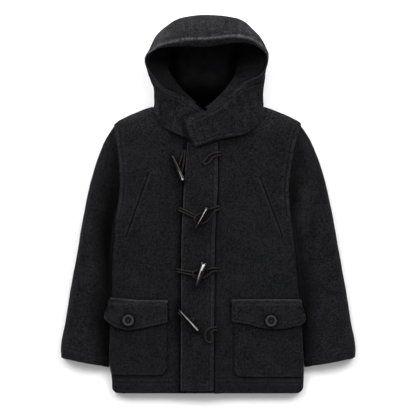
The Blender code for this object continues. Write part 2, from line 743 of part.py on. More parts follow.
def make_hood(wool, lining):
    outer = hood_grid()
    inner = moved_in(outer, WOOL)
    seams = [row * STEPS_ROUND for row in (0, *HOOD_SEAMS, len(HOOD) - 1)]
    for name, first, last in zip(("hood_side_right", "hood_center", "hood_side_left"), seams, seams[1:]):
        wall(name, trimmed(outer, first, last), trimmed(inner, first, last), wool)
    layers = (
        ("hood_facing", FACING_WOOL, FACED, 0, FACING_STEPS, wool),
        ("hood_lining", LINING, LINED, FACING_STEPS, STEPS_DOWN, lining),
    )
    for name, thick, rows, first, last, material in layers:
        faces = [moved_in(outer, WOOL + LINING_EASE + depth) for depth in (0, thick)]
        wall(name, *(trimmed_down(face, rows, first, last) for face in faces), material)


# ---------------------------------------------------------------- main


def main():
    clear_scene()
    collection = bpy.data.collections.new("duffle_coat")
    bpy.context.scene.collection.children.link(collection)
    wool = make_material("charcoal_wool", (0.012, 0.012, 0.014), 0.95)
    lining = make_material("black_lining", (0.003, 0.003, 0.0035), 0.6)
    horn = make_material("black_horn", (0.02, 0.018, 0.02), 0.2)
    cord = make_material("brown_cord", (0.09, 0.045, 0.025), 0.7)
    make_back(wool)
    make_fronts(wool)
    make_band(wool)
    make_sleeves(wool)
    make_hood(wool, lining)
    for word in ("right", "left"):
        make_welt(word, wool)
        make_bag(word, wool)
        make_flap(word, wool)
        make_button(word, horn)
    for number in range(1, len(TOGGLES) + 1):
        make_toggle(number, horn)
        make_cord("tie_%d" % number, TIES[number - 1], cord)
        make_cord("loop_%d" % number, LOOPS[number - 1], cord)


main()
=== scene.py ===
"""Finishes a packed duffle coat: wool, lining, horn toggles, twisted cords and stitches.

Tables hold millimetres: x from the centre line (the wearer's left is +), up from the hem, z from the
floor. Right and left are the wearer's.
"""
import math

import bmesh
import bpy
import numpy as np
from mathutils import Matrix, Vector
from mathutils.bvhtree import BVHTree


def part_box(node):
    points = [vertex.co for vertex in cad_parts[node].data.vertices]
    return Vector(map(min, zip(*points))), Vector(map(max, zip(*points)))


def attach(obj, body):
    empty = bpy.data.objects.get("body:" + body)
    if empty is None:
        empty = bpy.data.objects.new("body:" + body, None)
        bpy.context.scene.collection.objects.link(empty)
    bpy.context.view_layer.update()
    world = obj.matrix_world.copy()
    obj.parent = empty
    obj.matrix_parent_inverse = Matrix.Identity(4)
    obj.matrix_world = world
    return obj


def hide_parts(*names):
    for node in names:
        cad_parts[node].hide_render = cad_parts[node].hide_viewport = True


bl_info = {
    "name": "Duffle coat",
    "version": (1, 0, 0),
    "blender": (4, 5, 0),
    "location": "3D View > Sidebar > Coat",
    "description": "Dresses a laid-out duffle coat in wool, lining, horn, cord and stitches",
    "category": "Object",
}

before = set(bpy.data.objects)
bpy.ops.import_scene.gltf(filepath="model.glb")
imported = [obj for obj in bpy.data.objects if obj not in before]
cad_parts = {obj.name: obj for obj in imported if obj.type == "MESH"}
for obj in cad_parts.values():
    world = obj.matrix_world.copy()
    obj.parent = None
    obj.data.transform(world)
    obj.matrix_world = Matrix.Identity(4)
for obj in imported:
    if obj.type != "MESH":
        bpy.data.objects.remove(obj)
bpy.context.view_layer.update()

MM = 0.001
LENGTH = 832.0                          # from the hem to the hood's crest
SIDES = ((-1, "right"), (1, "left"))    # the sign of x and the word of each side
# Thicknesses.
WOOL, BAND_WOOL, POCKET_WOOL, WELT_WOOL, FACING_WOOL, LINING = 3.0, 2.5, 2.5, 1.6, 1.5, 1.0
EASE_GAP, LINING_EASE = 0.5, 0.7        # air under what is sewn on, and between hood and lining
# The cloth's inner side is coloured darker: painted shade.
INNER_SHADE = 0.8                        # lightness of the cloth's inner side
SEAM_UNDER, SEAM_Z, SEAM_OVER = 7.85, 8.0, 8.15    # heights of a side seam: under cloth, line, over cloth
FRONT_TOP, ARMHOLE_Z = 15.0, 14.2       # heights of the fronts' middle and of their edge at the armhole
ARMHOLE_END = 0.18                      # share of the armhole at each end where it closes to a seam
ROLL, CORNER = 12.0, 14.0               # how far the body's side rolls in, radius of the hem's corners
# The mesh: its fine steps from an edge inwards, and the cells of hidden and of small pieces for one of
# the fronts.
CLOSE = (0.25, 0.7, 1.4, 2.4, 3.8)
BACK_CELL, UNDER_CELL, FINE_CELL = 2.2, 2.0, 0.75
# Rough sizes of the pieces, which set their number of steps.
PANEL_SPAN, SLEEVE_SPAN, BAND_SPAN = (190, 600), (520, 115), (72, 547)
WELT_LENGTH, BAG_WIDTH, FLAP_LENGTH = 150, 150, 55
HOOD_ROW, HOOD_SECTION = 38, 235        # between two rows of the hood's table, and from its rim to its neck
LIPS, SEAMED, HOOD_LIPS = (1.2, 1.2), (0.3, 0.3), (0.6, 1.2)    # rounding of edges, along and across a grid
SHADE_REACH = 2.6                       # half widths of a shade after which it is nothing
GROOVE, SEAM_REACH = 1.5, 12.0          # half width of a seam's groove, how far a seam moves the cloth
SWELL_AT, SWELL, SWELL_PITCH = 3.6, 2.6, 8.5    # the swells beside a seam: how far, half width, pitch
STITCH_LIFT, STITCH_SPACING = 0.12, 3.0
FLECK_SCALE = 900.0                     # scale of the noise behind the wool's flecks
UNDERARM, SHOULDER_TIP, NECK_X = 384.0, 589.0, 122.0
BODY_EDGE = (
    # up, right, left
    (0, 212, 209), (36, 213, 211), (65, 218, 211), (115, 218, 209), (203, 213.5, 202), (291, 212.5, 195),
    (335, 211, 191), (384, 208, 184.5), (412, 201, 181), (456, 196, 179), (511, 198, 185.5),
    (555, 203, 194), (589, 207.5, 205),
)
SHOULDER = ((NECK_X, 632), (142, 625.5), (172, 613.5), (198, 600.5), (207.5, 592))
SHOULDER_LEAN = 0.91
UNDER_HOOD, BESIDE_HOOD = 10.0, 4.0
NECKLINES = {
    "back": ((0, 613), (60, 616), (100, 622), (114, 626)),
    "right": ((0, 569), (47, 571), (78, 583), (98, 595), (112, 613)),
    "left": ((-60, 553), (-30, 554), (23, 563), (78, 577), (100, 592), (112, 611)),
}
UNDER_EDGE = ((0, -27), (300, -17), (570, -8))
BAND_EDGES = (
    # up, right edge x, left edge x
    (5, -60.5, 11), (204, -59.5, 13), (359, -58, 15), (391, -56.5, 16.5), (440, -54, 20), (500, -50, 21),
    (553, -46, 21),
)
BAND_LOW, BAND_HIGH = 5.0, 552.0
BAND_CLEAR, BAND_FALL = 5.0, 27.0
DRAPE = (
    # x, up, reach in x, reach up, rise
    (-125, 500, 45, 90, 1.4), (-95, 350, 40, 80, -1.2), (-160, 290, 35, 60, 1.2), (-120, 80, 60, 60, 0.8),
    (110, 510, 50, 80, 1.5), (70, 330, 35, 110, -1.3), (150, 300, 40, 70, 1.3), (45, 120, 30, 100, -0.8),
)
DRAPE_HEM, DRAPE_NECK = (-20, 40), (540, 580)
SLEEVE_OUTER = (
    # up, distance from the centre line
    (79, 323), (90, 324), (161, 313.5), (231, 302.5), (301, 289.5), (389, 274.5), (425, 267.5), (460, 260),
    (495, 250.5), (530, 239), (565, 223.5), (589, 207.5),
)
SLEEVE_CREST = ((0, 15), (0.12, 21), (0.3, 27), (0.6, 25), (0.85, 21), (1, 19))
CUFF_OUTER_UP, CUFF_INNER_UP, CUFF_BOW = 79.0, 59.0, 2.5
CUFF_STAND, CUFF_FROM = 0.6, 0.85
CUFF_LINE = 1 - 25 / 515    # share of the sleeve's length at the cuff's stitched line
SLEEVE_CLEAR, ARMHOLE_GAP, CAP = -0.4, -1.4, 0.12
OUTER_ROUND, INNER_ROUND, UNDER_ROUND = 18.0, 42.0, 16.0
NAP = 0.8              # how far the wool's nap stands out at the sleeves' outer edges
HOOD = (
    # rim x, up, z | side x, up, z | low x, up, z | neck x, up, z
    (1, 615, 23, -2, 596, 22, -5, 577, 20.5, -8, 563, 18.8),
    (-27, 636, 25, -34, 609, 23.5, -38, 581, 21, -41, 561, 18.8),
    (-60, 656, 30, -69, 630, 26.5, -73, 598, 22.5, -76, 574, 19),
    (-91, 669, 41, -100, 640, 33, -102, 612, 25, -101, 587, 19),
    (-112, 688, 50, -115, 658, 33, -118, 631, 24, -118, 612, 19.2),
    (-127, 706, 57, -121, 682, 31, -116, 652, 13, -119.5, 632, 12),
    (-138, 725, 62, -121, 714, 32, -87, 680, 2, -103, 625, 0),
    (-134, 743, 66, -123, 744, 35, -80, 719, 0, -82, 621, 0),
    (-108, 756, 69, -118.5, 781, 37, -71, 754, 0, -60, 618, 0),
    (-68, 760, 70, -85, 812, 37, -60, 779, 0, -45, 616.5, 0),
    (-40, 760, 70, -53, 827, 37, -43, 792, 0, -34, 615.5, 0),
    (0, 760, 70, 0, 832, 37, 0, 796, 0, 0, 614.5, 0),
    (58, 768, 70, 63, 825, 37, 56, 789, 0, 34, 615.5, 0),
    (91, 766, 69, 95.5, 803, 37, 71, 767, 0, 51, 617, 0),
    (116, 753, 67, 121, 770, 36, 78, 741, 0, 71, 619.5, 0),
    (131, 737, 63, 120, 735, 34, 78, 710, 0, 93, 623, 0),
    (126, 711, 57, 125, 699, 32, 92, 674, 3, 108, 627, 1),
    (109, 695, 52, 122, 675, 32, 117, 650, 13, 120, 632, 12),
    (84, 687, 47, 112, 653, 33, 120, 628, 24, 119, 608, 19.2),
    (62, 672, 42, 82, 638, 34, 95, 605, 27, 95, 579, 21),
    (40, 653, 37, 51, 622, 33, 62, 590, 27, 71, 568, 22),
    (12, 630, 33, 16, 605, 31, 20, 581, 27.5, 23, 559, 25.2),
    (-19, 615, 31, -14, 594, 30, -6, 570, 28, -3, 550, 25.8),
    (-52, 602, 31, -46, 581, 30, -37, 559, 28, -30, 541, 25.8),
)
HOOD_SEAMS, FACED, LINED = (10, 12), (1, 21.5), (5, 17)
FACING_PART = 0.335    # share of a section, from the rim, that the facing covers
# Where the inner edge of the facing lies, by row: at the hood's sides it is drawn in over the lining.
FACING_EDGE = (
    # row, share drawn in, x, up, z
    (1, 1, -26, 638, 22), (1.5, 1, -40, 650, 25), (2, 1, -55, 665, 28), (3, 1, -76, 690, 28),
    (4, 1, -90, 707, 26), (5, 1, -91, 720, 24), (6, 1, -89, 732, 24), (7, 1, -92, 747, 26),
    (8, 0.5, -100, 772, 30), (9, 0, -72, 800, 34), (13, 0, 96, 800, 34), (14, 0.5, 90, 770, 30),
    (15, 1, 68, 733, 25), (16, 1, 64, 714, 24), (17, 1, 61, 700, 25), (18, 1, 54, 689, 27),
    (19, 1, 44, 675, 29), (20, 1, 32, 661, 31), (21, 1, 6, 637, 28), (21.5, 1, -6, 628, 27),
)
DRAWN_TO = 0.8         # share of a section where the lining is back on the hood's wall
BRIM = (
    # row, outwards from the rim, rise over the rim
    (0, 11, 0.3), (3, 9, 0.5), (5, 3, -3), (6.5, 0, -8), (8, 5, 1.5), (9.5, 8, 4.5), (13, 8.5, 4.5),
    (14.3, 4.5, 1), (15.5, 0, -7), (17, 3, -3), (19.5, 9, 0.5), (23, 11, 0.3),
)
WELTS = {"right": (-129, 488, -179, 346), "left": (114, 473, 162, 346)}
WELT_WIDTH = 22.0
POCKETS = {"right": (-92, 40, 190), "left": (58, 36, 190)}
POCKET_CORNER, FLAP_BEND = 18.0, (3, 12)
BAG_LINE, FLAP_LINE = 6.2, 5.0    # from the edges of a bag and of a flap to their stitched lines
FLAP_RISE, FLAP_BEAD, FLAP_GROOVE = 3.5, 3.4, 9.0    # above the flaps' top line, then down from there
FLAPS = {
    # x, top up, bottom up
    "right": (
        (-90, 202.5, 156), (-102, 202.5, 154), (-126, 202.5, 147.5), (-153, 202.5, 142), (-176, 204, 138.5),
        (-203, 207, 145), (-215, 208, 152), (-229, 171, 164),
    ),
    "left": (
        (52, 204, 157), (68, 204, 155.5), (90, 204, 152), (111, 204, 145), (138, 204, 141), (170, 204, 143),
        (203, 204, 149.5), (214.5, 168, 158),
    ),
}
BUTTONS = {"right": (-176, 160.5), "left": (138.5, 159.5)}
TOGGLES = (
    # thin end x, up, z | thick end x, up, z | turn of its holes about its axis, degrees
    (-80, 524, 20.5, -56, 466, 29, 62),
    (-30, 359, 31.5, -1, 409, 34.2, 80),
    (-27, 233, 30.85, -8, 288, 33.5, 0),
    (-65, 185, 27, -21, 136, 29.8, 75),
)
TOGGLE_SECTION = (0.84, 1.18)    # its thickness along the holes and its width across them
TOGGLE_POINT = ((0, 0), (1.3, 0.15), (2.3, 0.8), (3.1, 2.2), (3.7, 4.5))    # radius, from the thin end
TOGGLE_RADII = ((0.05, 3.7), (0.3, 4.9), (0.62, 6.2), (0.9, 7.1))    # share of the length, radius
TOGGLE_HOLES, TOGGLE_DRILL = (0.52, 0.66), 1.9    # shares of the length, radius
# Radius and height of a button's section. Its lightness grows between the two radii of its rim, painted
# shade in its sunk middle and painted light on its rim, and a ring of painted shade lies round it on the
# flap.
BUTTON_PROFILE = (
    (0, 2.3), (5.2, 2.3), (7.2, 2.55), (8.1, 3.1), (8.9, 3.7), (9.8, 4.05), (10.8, 4.1), (11.9, 3.75),
    (12.6, 3.1), (12.8, 2.3), (12.6, 1.3), (12.0, 0.6), (11.2, 0.2), (0, 0.2),
)
BUTTON_RIM, BUTTON_SHADE = (6.0, 8.5), 14.2
BUTTON_HOLE, BUTTON_DRILL = 2.6, 1.6    # from the middle to a hole's, along x and y, and its radius
THREAD_ROUTE = ((-2.4, 0.6), (-2.1, 2.5), (0, 3.0), (2.1, 2.5), (2.4, 0.6))    # from the middle, height
AROUND = 56                             # points round a turned shape
DRILL_DEPTH = 50 * MM
CORD = 3.8


def routed(level, *points):
    """The places of a cord: x, up and z, which is the level where none is given."""
    return tuple((*point, level)[:3] for point in points)


TIES = (
    routed(17.5, (-50.8, 536), (-51.8, 524), (-53.4, 512), (-55.6, 500), (-59.5, 487), (-64, 483),
           (-68.2, 486), (-68, 494.5), (-64.2, 503.5), (-60, 516), (-57, 526), (-55.2, 536)),
    routed(24.1, (-63, 408.4, 17.4), (-60, 407, 21.5), (-55.4, 405, 24.6), (-46, 400.4, 24.2),
           (-35, 395.4), (-25, 391), (-18.5, 388.2), (-16, 384.4), (-19.8, 382.5), (-27, 385.7),
           (-37, 390.4), (-48, 395.4, 24.2), (-57.6, 400, 24.6), (-62, 402, 21.5), (-65, 403.6, 17.4)),
    routed(24.3, (-68, 273.5, 17.4), (-65, 273, 21.5), (-60.5, 272, 24.6), (-50, 270, 24.2),
           (-36, 268.5, 24.1), (-26, 269), (-18.5, 269.3, 25.8), (-15, 269.3, 30), (-14.6, 268.8, 36.5),
           (-15.6, 265.6, 38.6), (-16.8, 262.2, 36.2), (-17.4, 261.4, 30), (-20.5, 260.3, 25.8),
           (-27, 259.6), (-36, 261.3, 24.1), (-50, 264.3, 24.2), (-60.5, 266.5, 24.6), (-65, 267.3, 21.5),
           (-68, 267.8, 17.4)),
    routed(22.2, (-64, 181, 17.4), (-62, 178.5, 21.2), (-57.5, 174.5), (-49, 167), (-41, 163.5, 23.4),
           (-35.5, 165.6, 25), (-31.8, 163.8, 25.6), (-33.4, 160.2, 25), (-42, 157, 23.2), (-50.5, 162.5),
           (-58, 171), (-63, 176, 21.2), (-65.5, 178, 17.4)),
)
LOOPS = (
    routed(24.2, (27.5, 531, 20.9), (24.5, 530.8, 23), (20.5, 530, 24.6), (12, 528.5), (3, 524),
           (-5, 516.5), (-10, 508.5), (-7, 504), (-1, 507), (6, 513.5), (13, 520.5), (20.5, 523.5, 24.6),
           (24.5, 524, 23), (27.5, 524.2, 20.9)),
    routed(24.2, (24.5, 412, 20.9), (21.3, 411.5, 23), (17.3, 410.5, 24.6), (9, 408), (0, 404), (-10, 399),
           (-20, 394.8, 26.6), (-28, 389.5, 29.2), (-30, 381.5, 28.8), (-25, 375.3, 25.5), (-17, 373.5),
           (-6, 377), (3, 385), (10, 395), (17.5, 403, 24.6), (21.5, 404.8, 23), (24.5, 405.3, 20.9)),
    routed(24.2, (20.3, 276, 20.9), (17.2, 276, 23), (13.3, 275.8, 24.6), (5, 275), (-8, 272),
           (-20, 271.5, 24.3), (-29, 270, 27.6), (-34.5, 263.5, 28.6), (-31.5, 256, 27.8), (-24, 252, 24.6),
           (-12, 254), (0, 261), (7, 267), (13.5, 269, 24.6), (17.4, 269.3, 23), (20.3, 269.4, 20.9)),
    routed(24.2, (18.9, 146, 20.9), (15.8, 146, 23), (11.8, 145.5, 24.6), (4, 143.5), (-3, 139), (-6, 131),
           (-5.5, 121.5), (-1, 114), (5, 112.5), (9.3, 118), (8.5, 127), (7, 134), (11.8, 138.8, 24.6),
           (15.8, 139.4, 23), (18.9, 139.6, 20.9)),
)
# Soft creases and folds, each along a line: piece group, x, up to x, up, half width, height.
CREASES = {
    "body": (
        (-196, 420, -150, 395, 9, 0.8), (-190, 440, -140, 425, 12, -0.7), (176, 430, 138, 402, 9, 0.8),
        (172, 452, 130, 430, 12, -0.7), (70, 545, 84, 500, 10, -1.0), (-75, 560, -92, 505, 10, -0.9),
        (-72, 300, -76, 60, 14, -0.8), (38, 210, 40, 40, 12, -0.7), (-190, 330, -120, 250, 16, 0.6),
        (180, 330, 110, 245, 16, 0.6),
    ),
    "sleeve": (
        (-300, 215, -238, 240, 8, -1.1), (-296, 228, -236, 254, 9, 0.9), (-292, 300, -228, 275, 11, -1.0),
        (-256, 470, -222, 400, 12, -1.2), (-246, 505, -210, 470, 10, 0.9), (-305, 130, -240, 150, 12, -0.8),
        (300, 205, 236, 228, 8, -1.1), (297, 219, 234, 243, 9, 0.9), (290, 305, 222, 280, 11, -1.0),
        (255, 470, 214, 400, 12, -1.2), (244, 508, 206, 470, 10, 0.9), (303, 132, 236, 150, 12, -0.8),
    ),
    "hood": (
        (-121, 654, -112, 612, 6, -1.6), (-104, 668, -96, 600, 9, 1.2), (118, 668, 104, 620, 8, -1.4),
        (60, 654, 116, 664, 7, -1.2), (-40, 640, -90, 622, 9, -0.9), (-10, 560, 60, 604, 12, 0.8),
        (-110, 790, -40, 772, 10, -1.0), (40, 782, 112, 790, 10, -0.9),
    ),
}
# Painted shade and painted light on the wool, each along a line: x, up to x, up, half width, strength
# (below 0 is darker).
SHADES = {
    "body": (
        (-84, 573, -50, 561, 4, -0.6), (-76, 564, -52, 556, 11, -0.5), (-56, 545, -58, 500, 7, -0.3),
        (28, 562, 78, 569, 3, -0.55), (34, 552, 84, 560, 10, -0.35), (-68, 200, -68, 118, 11, -0.4),
        (-67, 460, -67, 380, 6, -0.25), (-66, 330, -68, 270, 6, -0.25), (27, 372, 28, 285, 7, -0.2),
        (22, 180, 22, 110, 8, -0.2),
    ),
    "band": (
        (-40, 556, -44, 530, 5, -0.4), (-22, 548, 24, 556, 9, -0.5), (-30, 12, -8, 14, 4, -0.25),
        (-57, 15, 8, 15, 4, 0.3),
    ),
    "hood": (
        (-54, 611, -12, 627, 2.6, -0.5), (-58, 606, -50, 566, 4.5, -0.5), (-115, 648, -112, 616, 3, 0.7),
        (-106, 642, -104, 612, 3, -0.35), (84, 679, 114, 683, 5, -0.4), (60, 664, 112, 692, 5, 0.2),
        (-105, 600, -92, 577, 3, -0.3), (118, 640, 116, 612, 4, 0.3), (-118, 756, -98, 792, 13, 0.45),
        (86, 798, 120, 764, 11, 0.45), (-46, 768, -58, 824, 2.6, 0.3), (64, 772, 74, 820, 2.6, 0.35),
        (-54, 790, -49, 770, 2.2, -0.25),
    ),
    "facing": (
        (80, 718, 112, 722, 8, 0.7), (-100, 690, -84, 706, 12, 0.3),
    ),
    "sleeve": (
        (232, 396, 228, 285, 6, -0.3), (222, 150, 250, 165, 7, -0.12),
    ),
    "lining": (
        (-76, 750, -78, 690, 15, -0.8), (60, 745, 56, 690, 14, -0.8),
    ),
}
# Beside the body a sleeve lies in its shade: by height, lightness at the seam, how far it stays so and
# how far in it ends.
VALLEY = {
    -1: ((60, 0.12, 6, 38), (118, 0.12, 11, 45), (162, 0.14, 20, 60), (206, 0.14, 8, 55),
         (250, 0.08, 8, 48), (294, 0.05, 10, 45), (338, 0.03, 15, 52), (382, 0.08, 17, 50),
         (426, 0.14, 18, 57), (463, 0.22, 16, 50), (514, 0.26, 3, 32), (558, 0.6, 8, 24),
         (589, 0.9, 4, 20)),
    1: ((60, 0.15, 2, 38), (118, 0.17, 3, 42), (162, 0.22, 8, 34), (206, 0.26, 14, 56), (294, 0.4, 8, 32),
        (338, 0.42, 8, 34), (382, 0.37, 4, 24), (426, 0.23, 10, 28), (470, 0.36, 12, 42),
        (514, 0.45, 8, 48), (558, 0.6, 8, 20), (589, 0.9, 4, 20)),
}
# Painted light of a sleeve over its lower part and along its outer edge.
SLEEVE_LIGHT, SLEEVE_RIM = (200, 330, 0.16), (10, 0.45)    # of its lower part and of its outer edge
# The body's side edges catch the light: by height, how much and how far in.
SIDE_LIGHT = {
    -1: ((0, 0.0, 8), (206, 0.15, 12), (250, 0.5, 14), (300, 0.75, 16), (345, 0.95, 16), (390, 0.7, 18),
         (426, 0.35, 20), (560, 0.3, 16), (589, 0.2, 12)),
    1: ((0, 0.0, 8), (206, 0.05, 8), (250, 0.1, 8), (294, 0.5, 8), (338, 0.9, 10), (382, 0.6, 12),
        (426, 0.35, 13), (560, 0.35, 13), (589, 0.2, 12)),
}
# Painted light: whole groups, the shoulders and the hood's crown are coloured lighter where more light
# falls on them.
PAINTED_GAIN = {"hood": 1.2, "sleeve": 1.03, "flap": 1.15}    # how much lighter these groups are
SHOULDER_LIGHT = (560, 622, 0.85)    # from and to which height the shoulders grow lighter, and how much
CROWN_LIGHT = (705, 800, 0.35)       # the same over the hood's crown
# The painted highlight along the crest of the brim: its half width, then its strength by row.
CREST_WIDTH = 3.0
CREST_LIGHT = (
    # row, how much lighter the painted highlight makes the crest of the brim
    (0, 0.1), (3, 0.2), (4.5, 1.0), (5.5, 1.8), (7, 2.4), (10, 3.0), (13, 3.0), (16, 1.6), (18, 0.5),
    (20, 0.2), (23, 0.1),
)
FACING_LIGHT = (
    # row, lightness of the facing, painted where the brim's shade and the light fall on it
    (1, 0.7), (4, 0.4), (5, 0.33), (7, 0.38), (8, 2.0), (9, 14.0), (13, 14.0), (14, 0.6), (15, 0.15),
    (16, 0.32), (17, 0.48), (18, 0.65), (19, 0.9), (21.5, 1.1),
)
# Painted shade of the lining: darkest low in the hood towards the neck, lighter higher up.
LINING_LIGHT = ((600, 0.05), (650, 0.08), (672, 0.8), (690, 2.6), (730, 4.2), (760, 4.2))    # by height
HOOD_STITCH = (
    # row, how far inside the rim its stitched line runs
    (0, 12.5), (3.5, 12.5), (6, 19), (9, 22), (14, 22), (17, 19), (19.5, 10.5), (23, 10.5),
)
# The stage, in metres.
FLOOR_HALF = 4.0
LAMPS = (
    # name, place, size, the setting of its power, whether it lights cloth
    ("left_light", (-2.2, 2.5, 1.6), (2.7, 2.7), "side", True),
    ("right_light", (2.2, 2.5, 1.6), (2.7, 2.7), "side", True),
    ("shine_light", (-0.4, 0.0, 3.3), (0.9, 2.8), "shine", False),
)
SENSOR = 36.0                                   # width of the camera's sensor, in millimetres
PICTURE_WIDTH, FOCUS_Z = 416 * 2.2 * MM, 0.02   # what the picture spans at this height
PICTURE_MIDDLE = (-0.4 * MM, -7.9 * MM)


# ---------------------------------------------------------------- lines and curves in numbers


def through(rows, at):
    """Read a smooth line through the rows, which are sorted by their first column, at many places."""
    rows = np.asarray(rows, dtype=float)
    keys, values = rows[:, 0], rows[:, 1:]
    slopes = np.gradient(values, keys, axis=0)
    at = np.clip(np.asarray(at, dtype=float), keys[0], keys[-1])
    low = np.clip(np.searchsorted(keys, at) - 1, 0, len(keys) - 2)
    span = (keys[low + 1] - keys[low])[..., None]
    part = (at - keys[low])[..., None] / span
    rest = 1 - part
    return (values[low] * rest * rest * (1 + 2 * part)
            + values[low + 1] * part * part * (3 - 2 * part)
            + slopes[low] * span * part * rest * rest
            - slopes[low + 1] * span * part * part * rest)


def straight(rows, at):
    keys, values = zip(*rows)
    return np.interp(at, keys, values)


def ease(start, end, value):
    """Go from 0 to 1 between start and end, without a corner."""
    part = np.clip((value - start) / (end - start), 0, 1)
    return part * part * (3 - 2 * part)


def rounded(distance, reach):
    """A quarter round: 0 at the edge, 1 from reach inwards."""
    part = np.clip(distance / reach, 0, 1)
    return np.sqrt(1 - (1 - part) ** 2)


def sloped(distance, reach):
    part = np.clip(distance / reach, 0, 1)
    return 1 - (1 - part) ** 2


def lerp(first, last, part):
    return first + (last - first) * part


def run_of(line):
    """How far along the line each of its points lies."""
    return np.concatenate([[0], np.cumsum(np.linalg.norm(np.diff(line, axis=0), axis=1))])


def near(points, path):
    """Distance from each point to a path, and how far along the path its nearest point lies."""
    starts, runs = path[:-1], np.diff(path, axis=0)
    lengths = np.linalg.norm(runs, axis=1)
    distance = np.full(points.shape[:-1], 1e6)
    along = np.zeros(points.shape[:-1])
    for start, run, length, done in zip(starts, runs, lengths, run_of(path)):
        if length < 1e-6:
            continue
        part = np.clip(((points - start) @ run) / length ** 2, 0, 1)
        gap = np.linalg.norm(points - start - part[..., None] * run, axis=-1)
        closer = gap < distance
        distance[closer] = gap[closer]
        along[closer] = (done + part * length)[closer]
    return distance, along


def waves(points, seed, count, shortest, longest, height):
    """Soft unevenness: a sum of sine waves in random directions."""
    rng = np.random.default_rng(seed)
    total = np.zeros(points.shape[:-1])
    for _ in range(count):
        length = shortest * (longest / shortest) ** rng.random()
        turn = rng.random() * math.tau
        heading = np.array((math.cos(turn), math.sin(turn), 0.6 * rng.standard_normal()))
        total += np.sin(points @ heading * math.tau / length + rng.random() * math.tau) \
            * (length / longest) ** 0.7
    return total * height / math.sqrt(count / 2)


def steps(length, cell):
    """Shares of a length, close together near both ends and a cell apart between."""
    inner = max(int(round((length - 2 * CLOSE[-1]) / cell)), 2)
    even = np.linspace(CLOSE[-1], length - CLOSE[-1], inner + 1)
    ends = np.array((0.0, *CLOSE[:-1]))
    return np.concatenate([ends, even, length - ends[::-1]]) / length


def cells(width, length, cell):
    """Shares across and along a piece, for a grid of its points."""
    return np.meshgrid(steps(width, cell), steps(length, cell), indexing="ij")


# ---------------------------------------------------------------- the coat's surfaces


def at_armhole(up):
    part = (up - UNDERARM) / (SHOULDER_TIP - UNDERARM)
    return ease(0, ARMHOLE_END, part) * ease(0, ARMHOLE_END, 1 - part)


def edge(side, up):
    """Half width of the body on the side -1 (right) or 1 (left)."""
    both = through(BODY_EDGE, up)
    lift = np.clip(CORNER - np.asarray(up, dtype=float), 0, CORNER)
    corner = CORNER - np.sqrt(CORNER ** 2 - lift ** 2)
    return both[..., 0 if side < 0 else 1] - corner


def top_line(panel, x):
    return straight(NECKLINES[panel] + SHOULDER, x if panel == "left" else np.abs(x))


def drape(x, up):
    swell = sum(rise * np.exp(-((x - cx) / rx) ** 2 - ((up - cy) / ry) ** 2)
                for cx, cy, rx, ry, rise in DRAPE)
    return swell * ease(*DRAPE_HEM, up) * (1 - ease(*DRAPE_NECK, up))


def at_shoulder(panel, x, up):
    shoulder = ease(NECK_X - UNDER_HOOD, NECK_X + BESIDE_HOOD, np.abs(x))
    below = SHOULDER_LEAN * (top_line(panel, x) - up)
    return 1 - shoulder * (1 - rounded(below, ROLL))


def front_z(side, x, up):
    """Height of a front's face over the floor."""
    height = FRONT_TOP + drape(x, up)
    if side > 0:
        beside = through(BAND_EDGES, up)[..., 1] + BAND_CLEAR
        height = height + (WOOL + EASE_GAP) * (1 - ease(beside, beside + BAND_FALL, x))
    inside = edge(side, up) - np.abs(x)
    open_arm = at_armhole(up)
    edge_z = SEAM_OVER + (ARMHOLE_Z - SEAM_Z) * open_arm
    turn = (1 - open_arm) * rounded(inside, ROLL) + open_arm * sloped(inside, ROLL)
    height = edge_z + (height - edge_z) * turn
    return SEAM_OVER + (height - SEAM_OVER) * at_shoulder("left" if side > 0 else "right", x, up)


def on_front(side, x, up):
    return np.stack([x, up, front_z(side, x, up)], axis=2)


def back_z(side, x, up):
    """Height of the back's outer face: flat on the floor, bent up to its seams."""
    inside = edge(side, up) - np.abs(x)
    height = SEAM_UNDER * (1 - at_armhole(up)) * (1 - rounded(inside, ROLL))
    return SEAM_UNDER - (SEAM_UNDER - height) * at_shoulder("back", x, up)


def panel_grid(panel, side, start, cell):
    """Points of half a panel, columns from the start's line to the side edge."""
    height = back_z if panel == "back" else front_z
    across, down = (steps(span, cell) for span in PANEL_SPAN)
    if panel == "back":
        across = np.concatenate([[0], across[len(CLOSE):]])
    top_x = lerp(start(SHOULDER_TIP), side * edge(side, SHOULDER_TIP), across)
    up = top_line(panel, top_x)[:, None] * down[None, :]
    x = lerp(start(up), side * edge(side, up), across[:, None])
    return np.stack([x, up, height(side, x, up)], axis=2)


def sleeve_plan(side, along, across):
    """Points of the flat sleeve: along from armhole to cuff, across from outer to inner edge."""
    outer_up = SHOULDER_TIP + (CUFF_OUTER_UP - SHOULDER_TIP) * along
    outer = np.stack([through(SLEEVE_OUTER, outer_up)[..., 0] + NAP, outer_up], axis=-1)
    inner_up = UNDERARM + (CUFF_INNER_UP - UNDERARM) * along
    clear = ARMHOLE_GAP + (SLEEVE_CLEAR - ARMHOLE_GAP) * ease(0, CAP, along)
    clear = clear + CUFF_STAND * ease(CUFF_FROM, 1, along)
    inner = np.stack([edge(side, inner_up) + clear, inner_up], axis=-1)
    arm_up = SHOULDER_TIP + (UNDERARM - SHOULDER_TIP) * across
    start = np.stack([edge(side, arm_up) + ARMHOLE_GAP, arm_up], axis=-1)
    top, low = np.array(SLEEVE_OUTER[-1][::-1], dtype=float), np.array(
        (float(edge(side, UNDERARM)) + ARMHOLE_GAP, UNDERARM))
    across_, along_ = across[..., None], along[..., None]
    bow = (start - lerp(top, low, across_)) * (1 - along_) ** 4
    flat = lerp(outer, inner, across_) + bow
    return side * flat[..., 0], flat[..., 1] - CUFF_BOW * np.sin(math.pi * across) * along ** 6


